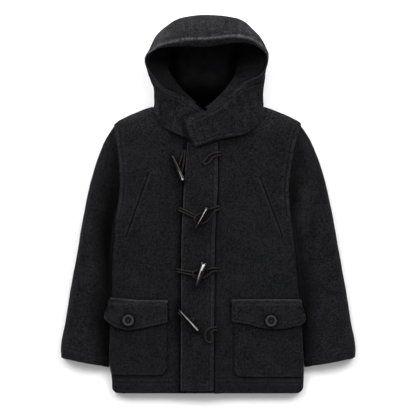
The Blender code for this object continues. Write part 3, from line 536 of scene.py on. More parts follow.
def sleeve_grid(side, upper, cell):
    along, across = cells(*SLEEVE_SPAN, cell)
    x, up = sleeve_plan(side, along, across)
    first, last = sleeve_plan(side, along, across * 0), sleeve_plan(side, along, across * 0 + 1)
    width = np.hypot(last[0] - first[0], last[1] - first[1])
    cap = ease(0, ARMHOLE_END, across) * ease(0, ARMHOLE_END, 1 - across)
    reach = INNER_ROUND if upper else UNDER_ROUND
    inner = (sloped if upper else rounded)((1 - across) * width, reach)
    tube = rounded(across * width, OUTER_ROUND if upper else UNDER_ROUND) * inner
    blend = ease(0, CAP, along)
    risen = cap * (1 - blend) + tube * blend
    seam = SEAM_OVER if upper else SEAM_UNDER
    level = through(SLEEVE_CREST, along)[..., 0] if upper else 0
    grid = np.stack([x, up, seam + (level - seam) * risen], axis=2)
    return grid[::-1] if (side > 0) == upper else grid


def hood_rows(first, last, cell):
    return lerp(first, last, steps(HOOD_ROW * (last - first), cell))


def hood_grid(rows, parts):
    """The hood's outer face at rows of its table and at shares of their sections."""
    table = [(index, *values) for index, values in enumerate(HOOD)]
    lines = []
    for row in rows:
        rim, side, low, neck = through(table, row).reshape(4, 3)
        ahead = through(table, min(row + 0.3, len(HOOD) - 1)).reshape(4, 3)[0]
        behind = through(table, max(row - 0.3, 0)).reshape(4, 3)[0]
        run = (ahead - behind)[:2] / np.linalg.norm((ahead - behind)[:2])
        out, rise = through(BRIM, row)
        crest = rim + np.array((-run[1] * out, run[0] * out, rise))
        keys = np.array((rim, crest, side, low, neck))
        places = run_of(keys)
        lines.append(through(np.column_stack([places / places[-1], keys]), parts))
    grid = np.array(lines)
    grid[:, :, 2] = np.maximum(grid[:, :, 2], 0)
    return grid


def normals_of(grid):
    across, along = np.gradient(grid, axis=0), np.gradient(grid, axis=1)
    normals = np.cross(across, along)
    return normals / np.maximum(np.linalg.norm(normals, axis=2, keepdims=True), 1e-9)


def smoothed(grid, times):
    """The grid with its inner points averaged with their neighbours."""
    grid = grid.copy()
    for _ in range(times):
        grid[1:-1, 1:-1] = (grid[1:-1, 1:-1] * 2 + grid[:-2, 1:-1] + grid[2:, 1:-1]
                            + grid[1:-1, :-2] + grid[1:-1, 2:]) / 6
    return grid


def to_rims(grid):
    """Distances of each point to the nearer end of its row of points, and of its column."""
    distances = []
    for axis in (0, 1):
        lengths = np.linalg.norm(np.diff(grid, axis=axis), axis=2)
        done = np.cumsum(lengths, axis=axis)
        start = np.concatenate([np.zeros_like(done.take([0], axis=axis)), done], axis=axis)
        distances.append(np.minimum(start, start.take([-1], axis=axis) - start))
    return distances


def to_rim(grid):
    return np.minimum(*to_rims(grid))


def shade_of(points, strokes):
    """Lightness at each point, from strokes of a line in plan or in space, a half width and a strength."""
    tone = np.ones(points.shape[:-1])
    for line, width, strength in strokes:
        line = np.asarray(line, dtype=float)
        place = points[..., :line.shape[1]]
        low, high = line.min(0) - SHADE_REACH * width, line.max(0) + SHADE_REACH * width
        close = ((place > low) & (place < high)).all(axis=-1)
        if close.any():
            distance = near(place[close], line)[0]
            tone[close] *= 1 + strength * np.exp(-(distance / width) ** 2)
    return tone


def shades(group):
    return [((row[:2], row[2:4]), *row[4:]) for row in SHADES.get(group, ())]


def seam_shades(lines):
    """A stitched line is dark in its groove and light on the swells beside it."""
    return [(line, 5.0, 0.28) for line in lines] + [(line, 1.9, -0.48) for line in lines]


def beside(line, shift):
    """The line moved across its own direction, to its left for a positive shift."""
    line = np.asarray(line, dtype=float)[:, :2]
    run = np.gradient(line, axis=0)
    run /= np.maximum(np.linalg.norm(run, axis=1, keepdims=True), 1e-9)
    return line + np.column_stack([-run[:, 1], run[:, 0]]) * shift


# ---------------------------------------------------------------- meshes


def metres(points):
    return (np.asarray(points, dtype=float) - (0, LENGTH / 2, 0)) * MM


def placed(name, data):
    """A new object of the scene with its data."""
    obj = bpy.data.objects.new(name, data)
    bpy.context.scene.collection.objects.link(obj)
    return obj


def applied(obj):
    """Turn the object's modifiers into its own plain mesh."""
    made = bpy.data.meshes.new_from_object(obj.evaluated_get(bpy.context.evaluated_depsgraph_get()))
    obj.modifiers.clear()
    obj.data = made
    return made


def piece(name, points, faces, material):
    """A smooth mesh piece, in metres, with its material and its slot."""
    mesh = bpy.data.meshes.new(name)
    mesh.from_pydata(points, [], faces)
    mesh.shade_smooth()
    mesh.materials.append(material)
    obj = placed(name, mesh)
    return obj


def toned_points(obj, tones):
    """Give each point of a piece its own lightness."""
    layer = obj.data.attributes.new("tone", "FLOAT", "POINT")
    layer.data.foreach_set("value", np.asarray(tones, dtype=np.float32))


def quads_of(index):
    """The faces between neighbours in a grid of point numbers."""
    return np.stack([index[:-1, :-1], index[1:, :-1], index[1:, 1:], index[:-1, 1:]], axis=2).reshape(-1, 4)


def wall(name, outer, inner, tone, material):
    """A closed wall of cloth lofted between its outer and inner grids of points, with its lightness."""
    count = outer[..., 0].size
    index = np.arange(count).reshape(outer.shape[:2])
    out = quads_of(index)
    around = np.concatenate([index[:, 0], index[-1, 1:], index[-2::-1, -1], index[0, -2:0:-1]])
    after = np.roll(around, -1)
    rim = np.stack([after, around, around + count, after + count], axis=1)
    faces = np.concatenate([out, out[:, ::-1] + count, rim])
    points = metres(np.concatenate([outer.reshape(-1, 3), inner.reshape(-1, 3)]))
    obj = piece(name, points.tolist(), faces.tolist(), material)
    toned_points(obj, np.concatenate([tone.ravel(), np.full(count, INNER_SHADE)]))
    return obj


def cloth(name, outer, tone, thick, lips=LIPS, lowest=-math.inf, highest=math.inf):
    """A wall of wool with rounded edges, thick on its inner side, which stays between two heights.

    The two lips round the edges at the ends of the grid's columns and at the ends of its rows.
    """
    turn = np.zeros(outer.shape[:2])
    for distance, lip in zip(to_rims(outer), lips):
        lip = min(lip, thick * 0.42)
        turn = np.maximum(turn, lip * (1 - rounded(distance, lip * 1.5)))
    inner = outer - normals_of(smoothed(outer, 6)) * (thick - turn)[..., None]
    inner[:, :, 2] = np.clip(inner[:, :, 2], lowest, highest)
    face = outer - normals_of(outer) * turn[..., None]
    return wall(name, face, inner, tone, finish("wool"))


def declare(obj, node):
    """The cloth piece rides on the coat, stands for its node and states the cut that its face needs."""
    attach(obj, "root")
    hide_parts(node)


def sew(node, face, tone, thick, rests_on=(), lines=(), stitches="", **shape):
    """Make one cut of wool from its worked face, declare it and lay its stitched lines on it."""
    declare(cloth("wool_" + node, face, tone, thick, **shape), node)
    if len(lines):
        lay(lines, face, stitches)


# ---------------------------------------------------------------- materials


def new_group(name, inputs, outputs):
    """A shader node group with named inputs (name, kind, default) and outputs (name, kind)."""
    group = bpy.data.node_groups.new(name, "ShaderNodeTree")
    for label, kind, default in inputs:
        socket = group.interface.new_socket(label, in_out="INPUT", socket_type=kind)
        socket.default_value = default
    for label, kind in outputs:
        group.interface.new_socket(label, in_out="OUTPUT", socket_type=kind)
    return group, group.nodes.new("NodeGroupInput"), group.nodes.new("NodeGroupOutput")


def add(tree, kind, inputs=None, **settings):
    """A node with its settings; an input is a value or the socket that feeds it."""
    node = tree.nodes.new(kind)
    for key, value in settings.items():
        setattr(node, key, value)
    for key, value in (inputs or {}).items():
        if isinstance(value, bpy.types.NodeSocket):
            tree.links.new(value, node.inputs[key])
        else:
            node.inputs[key].default_value = value
    return node


def maths(tree, operation, first, second=0.5, third=0.5):
    node = add(tree, "ShaderNodeMath", {0: first, 1: second, 2: third}, operation=operation)
    return node.outputs[0]


def noise(tree, place, scale, detail=2.0, rough=0.5, distortion=0.0):
    node = add(tree, "ShaderNodeTexNoise", {"Vector": place, "Scale": scale, "Detail": detail,
                                            "Roughness": rough, "Distortion": distortion})
    return node.outputs["Fac"]


def spread_of(tree, value, low, high):
    node = add(tree, "ShaderNodeMapRange", {"Value": value, "From Min": low, "From Max": high})
    return node.outputs["Result"]


def blend(tree, part, first, second):
    node = add(tree, "ShaderNodeMix", data_type="RGBA")
    for key, value in ((0, part), (6, first), (7, second)):
        if isinstance(value, bpy.types.NodeSocket):
            tree.links.new(value, node.inputs[key])
        else:
            node.inputs[key].default_value = value if key == 0 else (*value, 1.0)
    return node.outputs[2]


def fleck_noise(tree, place, fleck, share, *settings):
    """Noise whose scale is a share of the flecks' own."""
    return noise(tree, place, maths(tree, "MULTIPLY", fleck, share), *settings)


def felt_group():
    """Felted, heathered fibres: how light a spot is, how rough, and how high its nap stands."""
    group, start, end = new_group(
        "felted_fibres",
        (("Vector", "NodeSocketVector", (0, 0, 0)), ("Fleck", "NodeSocketFloat", FLECK_SCALE)),
        (("Light", "NodeSocketFloat"), ("Fleck", "NodeSocketFloat"), ("Nap", "NodeSocketFloat")))
    place, fleck = start.outputs["Vector"], start.outputs["Fleck"]
    fine = noise(group, place, fleck, 3, 0.65, 0.6)
    clumps = fleck_noise(group, place, fleck, 0.3, 3, 0.65, 0.8)
    broad = fleck_noise(group, place, fleck, 0.018, 2, 0.5)
    light = maths(group, "MULTIPLY_ADD", clumps, 0.75, maths(group, "MULTIPLY", fine, 0.25))
    light = maths(group, "MULTIPLY_ADD", maths(group, "SUBTRACT", broad, 0.5), 0.12, light)
    sparse = fleck_noise(group, place, fleck, 0.62, 1, 0.4, 2.2)
    hairs = [
        fleck_noise(group, drawn(group, place, stretch, turn), fleck, share, 2, 0.6, 1.8)
        for stretch, turn, share in (((1.0, 0.35, 1.0), 0.6, 1.5), ((0.35, 1.0, 1.0), -0.4, 1.3))
    ]
    nap = maths(group, "MULTIPLY_ADD", maths(group, "MAXIMUM", *hairs), 0.6,
                maths(group, "MULTIPLY", clumps, 0.7))
    feed(group, end, Light=spread_of(group, light, 0.4, 0.63), Fleck=spread_of(group, sparse, 0.63, 0.74),
         Nap=nap)
    return group


def drawn(tree, place, stretch, turn=0.0):
    """The place with its pattern drawn out along an axis and turned about z."""
    node = add(tree, "ShaderNodeMapping", {"Vector": place, "Scale": stretch, "Rotation": (0.0, 0.0, turn)})
    return node.outputs[0]


def feed(tree, node, **sockets):
    for key, value in sockets.items():
        tree.links.new(value, node.inputs[key.replace("_", " ")])


def start_material(name, **shader_values):
    """A new material with values on its shader, its tree, its shader and the place on the object."""
    material = bpy.data.materials.new(name)
    material.use_nodes = True
    tree = material.node_tree
    shader = tree.nodes["Principled BSDF"]
    for key, value in shader_values.items():
        shader.inputs[key.replace("_", " ")].default_value = value
    return material, tree, shader, add(tree, "ShaderNodeTexCoord").outputs["Object"]


def bumped(tree, height, strength, distance):
    node = add(tree, "ShaderNodeBump", {"Height": height, "Strength": strength, "Distance": distance})
    return node.outputs["Normal"]


def toned(tree, colour):
    """The colour times the piece's own lightness."""
    tone = add(tree, "ShaderNodeAttribute", attribute_name="tone").outputs["Fac"]
    return add(tree, "ShaderNodeVectorMath", {0: colour, "Scale": tone}, operation="SCALE").outputs[0]


def wool_material(dark, light, fleck_colour):
    """Melton wool: dark heathered fibres with a few pale flecks, matt, with a felted nap."""
    material, tree, shader, place = start_material(
        "charcoal_wool", Roughness=1.0, Specular_IOR_Level=0.006, Sheen_Weight=0.02, Sheen_Roughness=0.5)
    fibres = add(tree, "ShaderNodeGroup", {"Vector": place, "Fleck": FLECK_SCALE},
                 node_tree=felt_group()).outputs
    colour = blend(tree, fibres["Light"], dark, light)
    colour = blend(tree, maths(tree, "MULTIPLY", fibres["Fleck"], 0.5), colour, fleck_colour)
    feed(tree, shader, Base_Color=toned(tree, colour), Normal=bumped(tree, fibres["Nap"], 0.5, 0.0007))
    return material


def lining_material(dark, light):
    """Black woven lining with a fine rib."""
    material, tree, shader, place = start_material("black_lining", Specular_IOR_Level=0.0)
    weave = add(tree, "ShaderNodeTexWave", {"Vector": place, "Scale": 260.0, "Distortion": 1.2},
                bands_direction="DIAGONAL").outputs["Fac"]
    patches = noise(tree, place, 60.0, 3, 0.6)
    feed(tree, shader, Base_Color=toned(tree, blend(tree, patches, dark, light)),
         Roughness=maths(tree, "MULTIPLY_ADD", patches, 0.25, 0.45),
         Normal=bumped(tree, weave, 0.25, 0.0002))
    return material


def horn_material(name, dark, light, rough, shine):
    """Polished horn: near black, with streaks along it and fine scratches."""
    material, tree, shader, place = start_material(name, Specular_IOR_Level=shine)
    along = drawn(tree, place, (1.0, 0.25, 1.0))
    streaks = spread_of(tree, noise(tree, along, 420.0, 4, 0.6, 0.8), 0.35, 0.75)
    scratches = noise(tree, along, 1800.0, 3, 0.7)
    feed(tree, shader, Base_Color=toned(tree, blend(tree, streaks, dark, light)),
         Roughness=maths(tree, "MULTIPLY_ADD", scratches, 0.12, rough),
         Normal=bumped(tree, scratches, 0.12, 0.0002))
    return material


def cord_material(dark, light):
    """Dull twisted cord: the strands' fibres run with the cord's own UV map."""
    material, tree, shader, place = start_material(
        "brown_cord", Specular_IOR_Level=0.05, Sheen_Weight=0.02)
    flow = add(tree, "ShaderNodeUVMap", uv_map="cord").outputs["UV"]
    fibres = noise(tree, drawn(tree, flow, (1.0, 0.3, 1.0)), 1500.0, 3, 0.65, 0.5)
    patches = noise(tree, place, 300.0, 2, 0.5)
    part = maths(tree, "MULTIPLY_ADD", fibres, 0.7, maths(tree, "MULTIPLY", patches, 0.4))
    feed(tree, shader, Base_Color=blend(tree, spread_of(tree, part, 0.35, 0.75), dark, light),
         Roughness=maths(tree, "MULTIPLY_ADD", patches, 0.2, 0.65),
         Normal=bumped(tree, fibres, 0.5, 0.0003))
    return material


def thread_material(dark, light):
    material, tree, shader, place = start_material("sewing_thread", Specular_IOR_Level=0.1)
    shade = noise(tree, place, 900.0, 2, 0.6)
    feed(tree, shader, Base_Color=blend(tree, shade, dark, light),
         Roughness=maths(tree, "MULTIPLY_ADD", shade, 0.3, 0.5),
         Normal=bumped(tree, noise(tree, place, 3500.0, 1, 0.5), 0.4, 0.0001))
    return material


def floor_material(colour):
    material, tree, shader, place = start_material("floor_card", Specular_IOR_Level=0.1, Roughness=0.9)
    pale = tuple(channel * 0.985 for channel in colour)
    feed(tree, shader, Base_Color=blend(tree, noise(tree, place, 3.0, 2, 0.5), pale, colour))
    return material


_made = {}


def finish(word):
    """The material of that word, built the first time that it is asked for."""
    if word not in _made:
        wool, trim = bpy.context.scene.coat_wool, bpy.context.scene.coat_trim
        cord = tuple(trim.cord)
        maker, *values = {
            "wool": (wool_material, tuple(wool.dark), tuple(wool.light), tuple(wool.fleck)),
            "lining": (lining_material, (0.0006, 0.0006, 0.0007), (0.0024, 0.0024, 0.0026)),
            "horn": (horn_material, "black_horn", (0.0006, 0.0005, 0.0005), tuple(trim.horn), 0.13, 0.15),
            "button": (horn_material, "button_horn", (0.016, 0.016, 0.02), (0.033, 0.033, 0.04),
                       0.4, 0.006),
            "cord": (cord_material, tuple(0.45 * channel for channel in cord), cord),
            "thread": (thread_material, (0.002, 0.002, 0.0022), (0.007, 0.007, 0.0075)),
        }[word]
        _made[word] = maker(*values)
    return _made[word]


# ---------------------------------------------------------------- sewing

_runs = {}    # stitched lines by group, each an array of points on the cloth, in millimetres


def sewn(outer, lines, sink, pucker, seed, plan=True):
    """Lower the cloth along stitched lines and let it swell a little beside them."""
    rng = np.random.default_rng(seed)
    heights = np.zeros(outer.shape[:2])
    for line in lines:
        line = np.asarray(line, dtype=float)
        points = outer[..., :2] if plan else outer
        line = line[:, :points.shape[-1]]
        low, high = line.min(0) - SEAM_REACH, line.max(0) + SEAM_REACH
        close = ((points > low) & (points < high)).all(axis=-1)
        if not close.any():
            continue
        distance, along = near(points[close], line)
        beat = 0.5 + 0.5 * np.sin(along * math.tau / SWELL_PITCH + rng.random() * 6
                                  + 1.3 * np.sin(along / 23.0))
        heights[close] += (-sink * np.exp(-(distance / GROOVE) ** 2)
                           + pucker * (0.6 + beat) * np.exp(-((distance - SWELL_AT) / SWELL) ** 2))
    return heights


def creased(outer, group):
    """Heights of the hand-placed creases of a group."""
    heights = np.zeros(outer.shape[:2])
    for x1, up1, x2, up2, width, height in CREASES.get(group, ()):
        line = np.array(((x1, up1), (x2, up2)), dtype=float)
        distance, along = near(outer[..., :2], line)
        length = math.dist(*line)
        taper = ease(-0.05, 0.45, along / length) * ease(-0.05, 0.45, 1 - along / length)
        heights += height * taper * np.exp(-(distance / width) ** 2)
    return heights


def unevenness(outer, group, seed, height):
    """Broad waves of the cloth up to about a height, fine ones on them, and the group's creases."""
    return (waves(outer, seed, 22, 30, 130, height) + waves(outer, seed + 1, 26, 7, 22, 0.07)
            + creased(outer, group))


def worked(outer, group, seed, lines=(), fold=0.0, uneven=0.35, strokes=(), pale=0.0):
    """The outer face with its creases, unevenness, seams and the swell of its turned edges, and its
    lightness: the group's shades, the strokes, the grooves of its lines and its pale worn edges."""
    heights = unevenness(outer, group, seed, uneven)
    heights += sewn(outer, lines, 0.75, 0.22, seed + 2)
    rim = to_rim(outer)
    heights += fold * ease(0, 3, rim) * (1 - ease(6, 10, rim))
    heights *= 0.25 + 0.75 * ease(0, 5, rim)
    tone = shade_of(outer, shades(group) + list(strokes) + seam_shades(lines))
    tone *= 1 + pale * (1 - ease(0.8, 3.4, rim))
    tone *= PAINTED_GAIN.get(group, 1.0) * (1 + waves(outer, seed + 3, 16, 14, 60, 0.045))
    return outer + normals_of(outer) * heights[..., None], tone


def lay(lines, grid, group):
    """Lay plan lines on a piece's face from above, for their stitches."""
    index = np.arange(grid[..., 0].size).reshape(grid.shape[:2])
    tree = BVHTree.FromPolygons(grid.reshape(-1, 3).tolist(), quads_of(index).tolist())
    for line in lines:
        run = []
        for point in even(np.asarray(line, dtype=float), STITCH_SPACING):
            place, normal, _, _ = tree.ray_cast(Vector((point[0], point[1], 200)), Vector((0, 0, -1)))
            if place is not None:
                run.append(place + normal * math.copysign(STITCH_LIFT, normal.z))
        if len(run) > 1:
            _runs.setdefault(group, []).append(np.array(run))


def even(line, spacing):
    """The same line with its points a spacing apart."""
    lengths = run_of(line)
    count = max(int(lengths[-1] / spacing), 2)
    places = np.linspace(0, lengths[-1], count + 1)
    return np.column_stack([np.interp(places, lengths, column) for column in line.T])


def stitch_tree():
    """Threads along edges: one rounded stitch at each step, turned along the line."""
    tree = bpy.data.node_groups.new("stitch_run", "GeometryNodeTree")
    sockets = {}
    for label, kind in (("Geometry", "Geometry"), ("Pitch", "Float"), ("Stitch length", "Float"),
                        ("Thread", "Float"), ("Seed", "Int"), ("Material", "Material")):
        socket = tree.interface.new_socket(label, in_out="INPUT", socket_type="NodeSocket" + kind)
        sockets[label] = socket.identifier
    tree.interface.new_socket("Geometry", in_out="OUTPUT", socket_type="NodeSocketGeometry")
    given = add(tree, "NodeGroupInput").outputs
    line = add(tree, "GeometryNodeMeshToCurve", {"Mesh": given["Geometry"]})
    paced = add(tree, "GeometryNodeResampleCurve",
                {"Curve": line.outputs["Curve"], "Length": given["Pitch"]}, mode="LENGTH")
    bead = add(tree, "GeometryNodeMeshUVSphere", {"Segments": 6, "Rings": 4, "Radius": 0.5})
    smooth = add(tree, "GeometryNodeSetShadeSmooth", {"Geometry": bead.outputs["Mesh"]})
    heading = add(tree, "GeometryNodeInputTangent")
    turned = add(tree, "FunctionNodeAlignRotationToVector", {"Vector": heading.outputs["Tangent"]},
                 axis="Z")
    vary = add(tree, "FunctionNodeRandomValue", {"Min": 0.88, "Max": 1.1, "Seed": given["Seed"]},
               data_type="FLOAT")
    size = add(tree, "ShaderNodeCombineXYZ", {
        "X": given["Thread"], "Y": given["Thread"],
        "Z": maths(tree, "MULTIPLY", given["Stitch length"], vary.outputs["Value"])})
    strewn = add(tree, "GeometryNodeInstanceOnPoints", {
        "Points": paced.outputs["Curve"], "Instance": smooth.outputs["Geometry"],
        "Rotation": turned.outputs["Rotation"], "Scale": size.outputs["Vector"]})
    real = add(tree, "GeometryNodeRealizeInstances", {"Geometry": strewn.outputs["Instances"]})
    coloured = add(tree, "GeometryNodeSetMaterial",
                   {"Geometry": real.outputs["Geometry"], "Material": given["Material"]})
    add(tree, "NodeGroupOutput", {"Geometry": coloured.outputs["Geometry"]})
    return tree, sockets


def make_stitches(scene):
    """Each group of lines becomes one plain mesh of stitches."""
    tree, sockets = stitch_tree()
    settings = scene.coat_stitches
    for seed, (name, runs) in enumerate(sorted(_runs.items())):
        points, edges = [], []
        for run in runs:
            first = len(points)
            points += metres(run).tolist()
            edges += [(first + i, first + i + 1) for i in range(len(run) - 1)]
        lines = bpy.data.meshes.new(name + "_lines")
        lines.from_pydata(points, edges, [])
        obj = placed(name, lines)
        modifier = obj.modifiers.new("stitches", "NODES")
        modifier.node_group = tree
        for label, value in (("Pitch", settings.pitch), ("Stitch length", settings.length), ("Seed", seed),
                             ("Thread", settings.thread), ("Material", finish("thread"))):
            modifier[sockets[label]] = value
        applied(obj).name = name
        bpy.data.meshes.remove(lines)
        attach(obj, "root")


# ---------------------------------------------------------------- lines of stitches, in plan


def along_hem(side, rise):
    """A stitched line just above the hem, from the band or the centre to the side seam."""
    start = -63.5 if side < 0 else float(through(BAND_EDGES, rise)[1]) + 2.0
    end = side * (float(edge(side, rise)) - 3)
    return [(x, rise) for x in np.linspace(start, end, 20)]


def along_armhole(side, inset):
    return [(side * (float(edge(side, up)) - inset), up) for up in np.linspace(UNDERARM + 6, 583, 24)]


def along_band(column, inset, low=BAND_LOW + 6, high=BAND_HIGH - 12):
    return [(float(through(BAND_EDGES, up)[column]) + inset, up) for up in np.linspace(low, high, 40)]


HEM_LINES = (22.4, 33.0)


def plan_of(rows, step=3.0):
    """A line through hand-placed points, with its places a step apart."""
    return even(np.asarray(rows, dtype=float), step)


def bag_outline(side, word):
    """The free edge of a patch pocket: down its inner edge and along its bottom."""
    inner, bottom, mouth = POCKETS[word]
    turns = np.linspace(0, math.pi / 2, 7)
    corner = [(inner + side * POCKET_CORNER * (1 - math.cos(turn)),
               bottom + POCKET_CORNER * (1 - math.sin(turn))) for turn in turns]
    return plan_of([(inner, mouth), *corner, (side * 205, bottom)])


def flap_outline(word, drop=0.0):
    """The free edge of a flap: down its inner end and along its bottom."""
    rows = FLAPS[word]
    return plan_of([rows[0][:2]] + [(x, low - drop) for x, _, low in rows])


def contact_shades():
    """The dark lines and soft shades beside all that lies on the fronts."""
    band = np.linspace(BAND_LOW, BAND_HIGH, 60)
    right, left = through(BAND_EDGES, band).T
    strokes = [
        (np.column_stack([right - 2.0, band]), 3.6, -0.8),
        (np.column_stack([right - 5.0, band]), 9.0, -0.22),
        (np.column_stack([left + 2.0, band]), 3.2, -0.7),
    ]
    for side, word in SIDES:
        top_x, top, low_x, low = WELTS[word]
        strokes += [
            (plan_of([(top_x + side * 0.8, top), (low_x + side * 0.8, low)]), 2.1, -0.9),
            (plan_of([(top_x + side * 5.5, top), (low_x + side * 5.5, low)]), 2.4, 0.25),
            (along_armhole(side, 5.5), 2.6, 0.3),
            (along_armhole(side, 10.0), 2.2, -0.35),
            (along_armhole(side, 14.5), 2.4, 0.2),
            (beside(bag_outline(side, word), side * -2.0), 2.2, -0.2),
            (beside(flap_outline(word), side * -1.8), 3.0, -0.5),
            (plan_of([(x, up + FLAP_RISE + 2.6) for x, up, _ in FLAPS[word][:-1]]), 2.2, -0.4),
        ]
    return strokes


def band_shades():
    """The band's two edges, pale where the wool rolls over, and the groove beside the right one."""
    return [(along_band(0, 3.0), 2.6, 0.25), (along_band(1, -4.5), 2.6, 0.4),
            (along_band(1, -9.5), 2.0, -0.3)]


def trim_shades():
    """The dark surround of toggles and cords."""
    strokes = [(((row[0], row[1]), (row[3], row[4])), 10.0, -0.5) for row in TOGGLES]
    return strokes + [(np.array(route)[:, :2], 4.2, -0.4) for route in (*TIES, *LOOPS)]


# ---------------------------------------------------------------- pieces


def make_body(scene):
    cell = scene.coat_wool.cell
    halves = [panel_grid("back", side, np.zeros_like, cell * BACK_CELL) for side in (-1, 1)]
    back, tone = worked(np.concatenate([halves[1][::-1], halves[0][1:]]), "back", 11, uneven=0.2)
    back[..., 2] = np.clip(back[..., 2], 0, None)
    sew("back", back, tone, WOOL, lips=SEAMED, highest=SEAM_UNDER)
    strokes = contact_shades() + trim_shades()
    starts = {-1: lambda up: straight(UNDER_EDGE, up), 1: lambda up: through(BAND_EDGES, up)[..., 0] + 1}
    for side, word in SIDES:
        grid = panel_grid(word, side, starts[side], cell)[::side]
        lines = [along_hem(side, rise) for rise in HEM_LINES] + [along_armhole(side, 12.0)]
        face, tone = worked(grid, "body", 20 + side, lines, strokes=strokes)
        face[..., 2] = np.maximum(face[..., 2], SEAM_OVER)
        x, up = np.abs(grid[..., 0]), grid[..., 1]
        # Painted light on the body's side edges and over the shoulders.
        strength, reach = np.moveaxis(through(SIDE_LIGHT[side], up), -1, 0)
        tone *= 1 + strength * (1 - ease(0, 1, (edge(side, up) - x) / reach))
        tone *= 1 + SHOULDER_LIGHT[2] * ease(*SHOULDER_LIGHT[:2], up) * ease(90, 130, x)
        sew("front_" + word, face, tone, WOOL, ["wool_back"], lines, "body_stitches",
            lips=SEAMED, lowest=SEAM_OVER)


def laid_on(base, thick):
    """The outer face of a piece that lies on a base."""
    return base + normals_of(smoothed(base, 4)) * (EASE_GAP + thick)


def make_band(scene):
    part, along = cells(*BAND_SPAN, scene.coat_wool.cell * FINE_CELL)
    up = lerp(BAND_LOW, BAND_HIGH, along)
    right, left = np.moveaxis(through(BAND_EDGES, up), -1, 0)
    base = on_front(1, lerp(right, left, part), up)
    lines = [along_band(0, 4.5), along_band(1, -9.5), along_band(1, -2.2), [(-56, 14.3), (8, 14.3)]]
    face, tone = worked(laid_on(base, BAND_WOOL), "band", 31, lines, fold=0.25, uneven=0.2,
                        strokes=trim_shades() + band_shades(), pale=0.8)
    sew("front_band", face, tone, BAND_WOOL, ["wool_front_left"], lines, "body_stitches")


def valley(grid, side):
    """Lightness of a sleeve: in the shade of the body beside it, and pale along its outer edge."""
    x, up = np.abs(grid[..., 0]), grid[..., 1]
    low, flat, reach = np.moveaxis(through(VALLEY[side], up), -1, 0)
    inside = x - edge(side, np.maximum(up, CUFF_INNER_UP))
    shade = lerp(low, 1.0, np.clip((inside - flat) / (reach - flat), 0, 1))
    outside = through(SLEEVE_OUTER, up)[..., 0] + NAP - x
    low, high, more = SLEEVE_LIGHT
    return (shade * (1 + more * (1 - ease(low, high, up)))
            * (1 + SLEEVE_RIM[1] * (1 - ease(0, SLEEVE_RIM[0], outside))))


def make_sleeves(scene):
    cell = scene.coat_wool.cell
    for side, word in SIDES:
        cuff = np.column_stack(sleeve_plan(side, np.full(24, CUFF_LINE), np.linspace(0.04, 0.97, 24)))
        grid = sleeve_grid(side, True, cell)
        upper, tone = worked(grid, "sleeve", 40 + side, [cuff])
        # Painted shade beside the body, painted light over the lower part and outer edge.
        tone *= valley(grid, side)
        upper[..., 2] = np.maximum(upper[..., 2], SEAM_OVER)
        sew("sleeve_upper_" + word, upper, tone, WOOL, ["wool_sleeve_under_" + word], [cuff],
            "sleeve_stitches", lips=SEAMED, lowest=SEAM_OVER)
        under, tone = worked(sleeve_grid(side, False, cell * UNDER_CELL), "under", 50 + side, uneven=0.15)
        under[..., 2] = np.clip(under[..., 2], 0, SEAM_UNDER)
        sew("sleeve_under_" + word, under, tone, WOOL, lips=SEAMED, highest=SEAM_UNDER)


def arcs_of(grid):
    """Distance of each point from the first one of its column, along the column."""
    runs = np.linalg.norm(np.diff(grid, axis=1), axis=2)
    return np.concatenate([np.zeros_like(runs[:, :1]), np.cumsum(runs, axis=1)], axis=1)


def on_hood(grid, rows, path):
    """Points on the hood's face by row and by distance from the rim; one below 0 counts from the neck."""
    arcs = arcs_of(grid)
    line = []
    for row, distance in path:
        index = int(np.abs(rows - row).argmin())
        at = distance if distance >= 0 else arcs[index, -1] + distance
        line.append([np.interp(at, arcs[index], axis) for axis in grid[index].T])
    return np.array(line)


def hood_paths(first, last):
    """The hood's stitched lines between two rows: round its rim, at its ends and along its lower edges."""
    rows = np.arange(max(first, 0.3), min(last, len(HOOD) - 1.3) + 0.01, 0.08)
    inset = through(HOOD_STITCH, rows)[:, 0]
    paths = [list(zip(rows, inset))]
    if last == len(HOOD) - 1:
        end = last - 0.32
        paths.append([(end, distance) for distance in np.arange(inset[-1], 52, 2.5)] + [(end, -9)])
        paths.append([(row, -9) for row in np.arange(20.2, end, 0.08)])
    return paths


def drawn_in(rows, parts):
    """How far the facing and the lining are moved at the hood's sides, row by row and part by part."""
    edges = hood_grid(rows, (FACING_PART - 0.02, FACING_PART))[:, 1]
    places = through(FACING_EDGE, rows)
    moves = (places[:, 1:] - edges) * np.clip(places[:, :1], 0, 1)
    share = np.where(parts < FACING_PART, parts / FACING_PART, 1 - ease(FACING_PART, DRAWN_TO, parts))
    return moves[:, None, :] * share[None, :, None]


def hood_tone(grid, rows, lines, seed):
    """Lightness of a hood piece: its shades and grooves, and the pale crown and crest of its brim."""
    arcs = arcs_of(grid)
    pull = np.exp((grid[..., 2] - grid[..., 2].max(axis=1, keepdims=True)) / 0.8)
    from_crest = arcs - (pull * arcs).sum(axis=1, keepdims=True) / pull.sum(axis=1, keepdims=True)
    tone = shade_of(grid, shades("hood") + seam_shades(lines)) * PAINTED_GAIN["hood"]
    tone *= 1 + CROWN_LIGHT[2] * ease(*CROWN_LIGHT[:2], grid[..., 1]) * ease(-6, 2, from_crest)
    tone *= 1 + through(CREST_LIGHT, rows) * np.exp(-(from_crest / CREST_WIDTH) ** 2)
    return tone * (1 + waves(grid, seed, 48, 6, 26, 0.15))


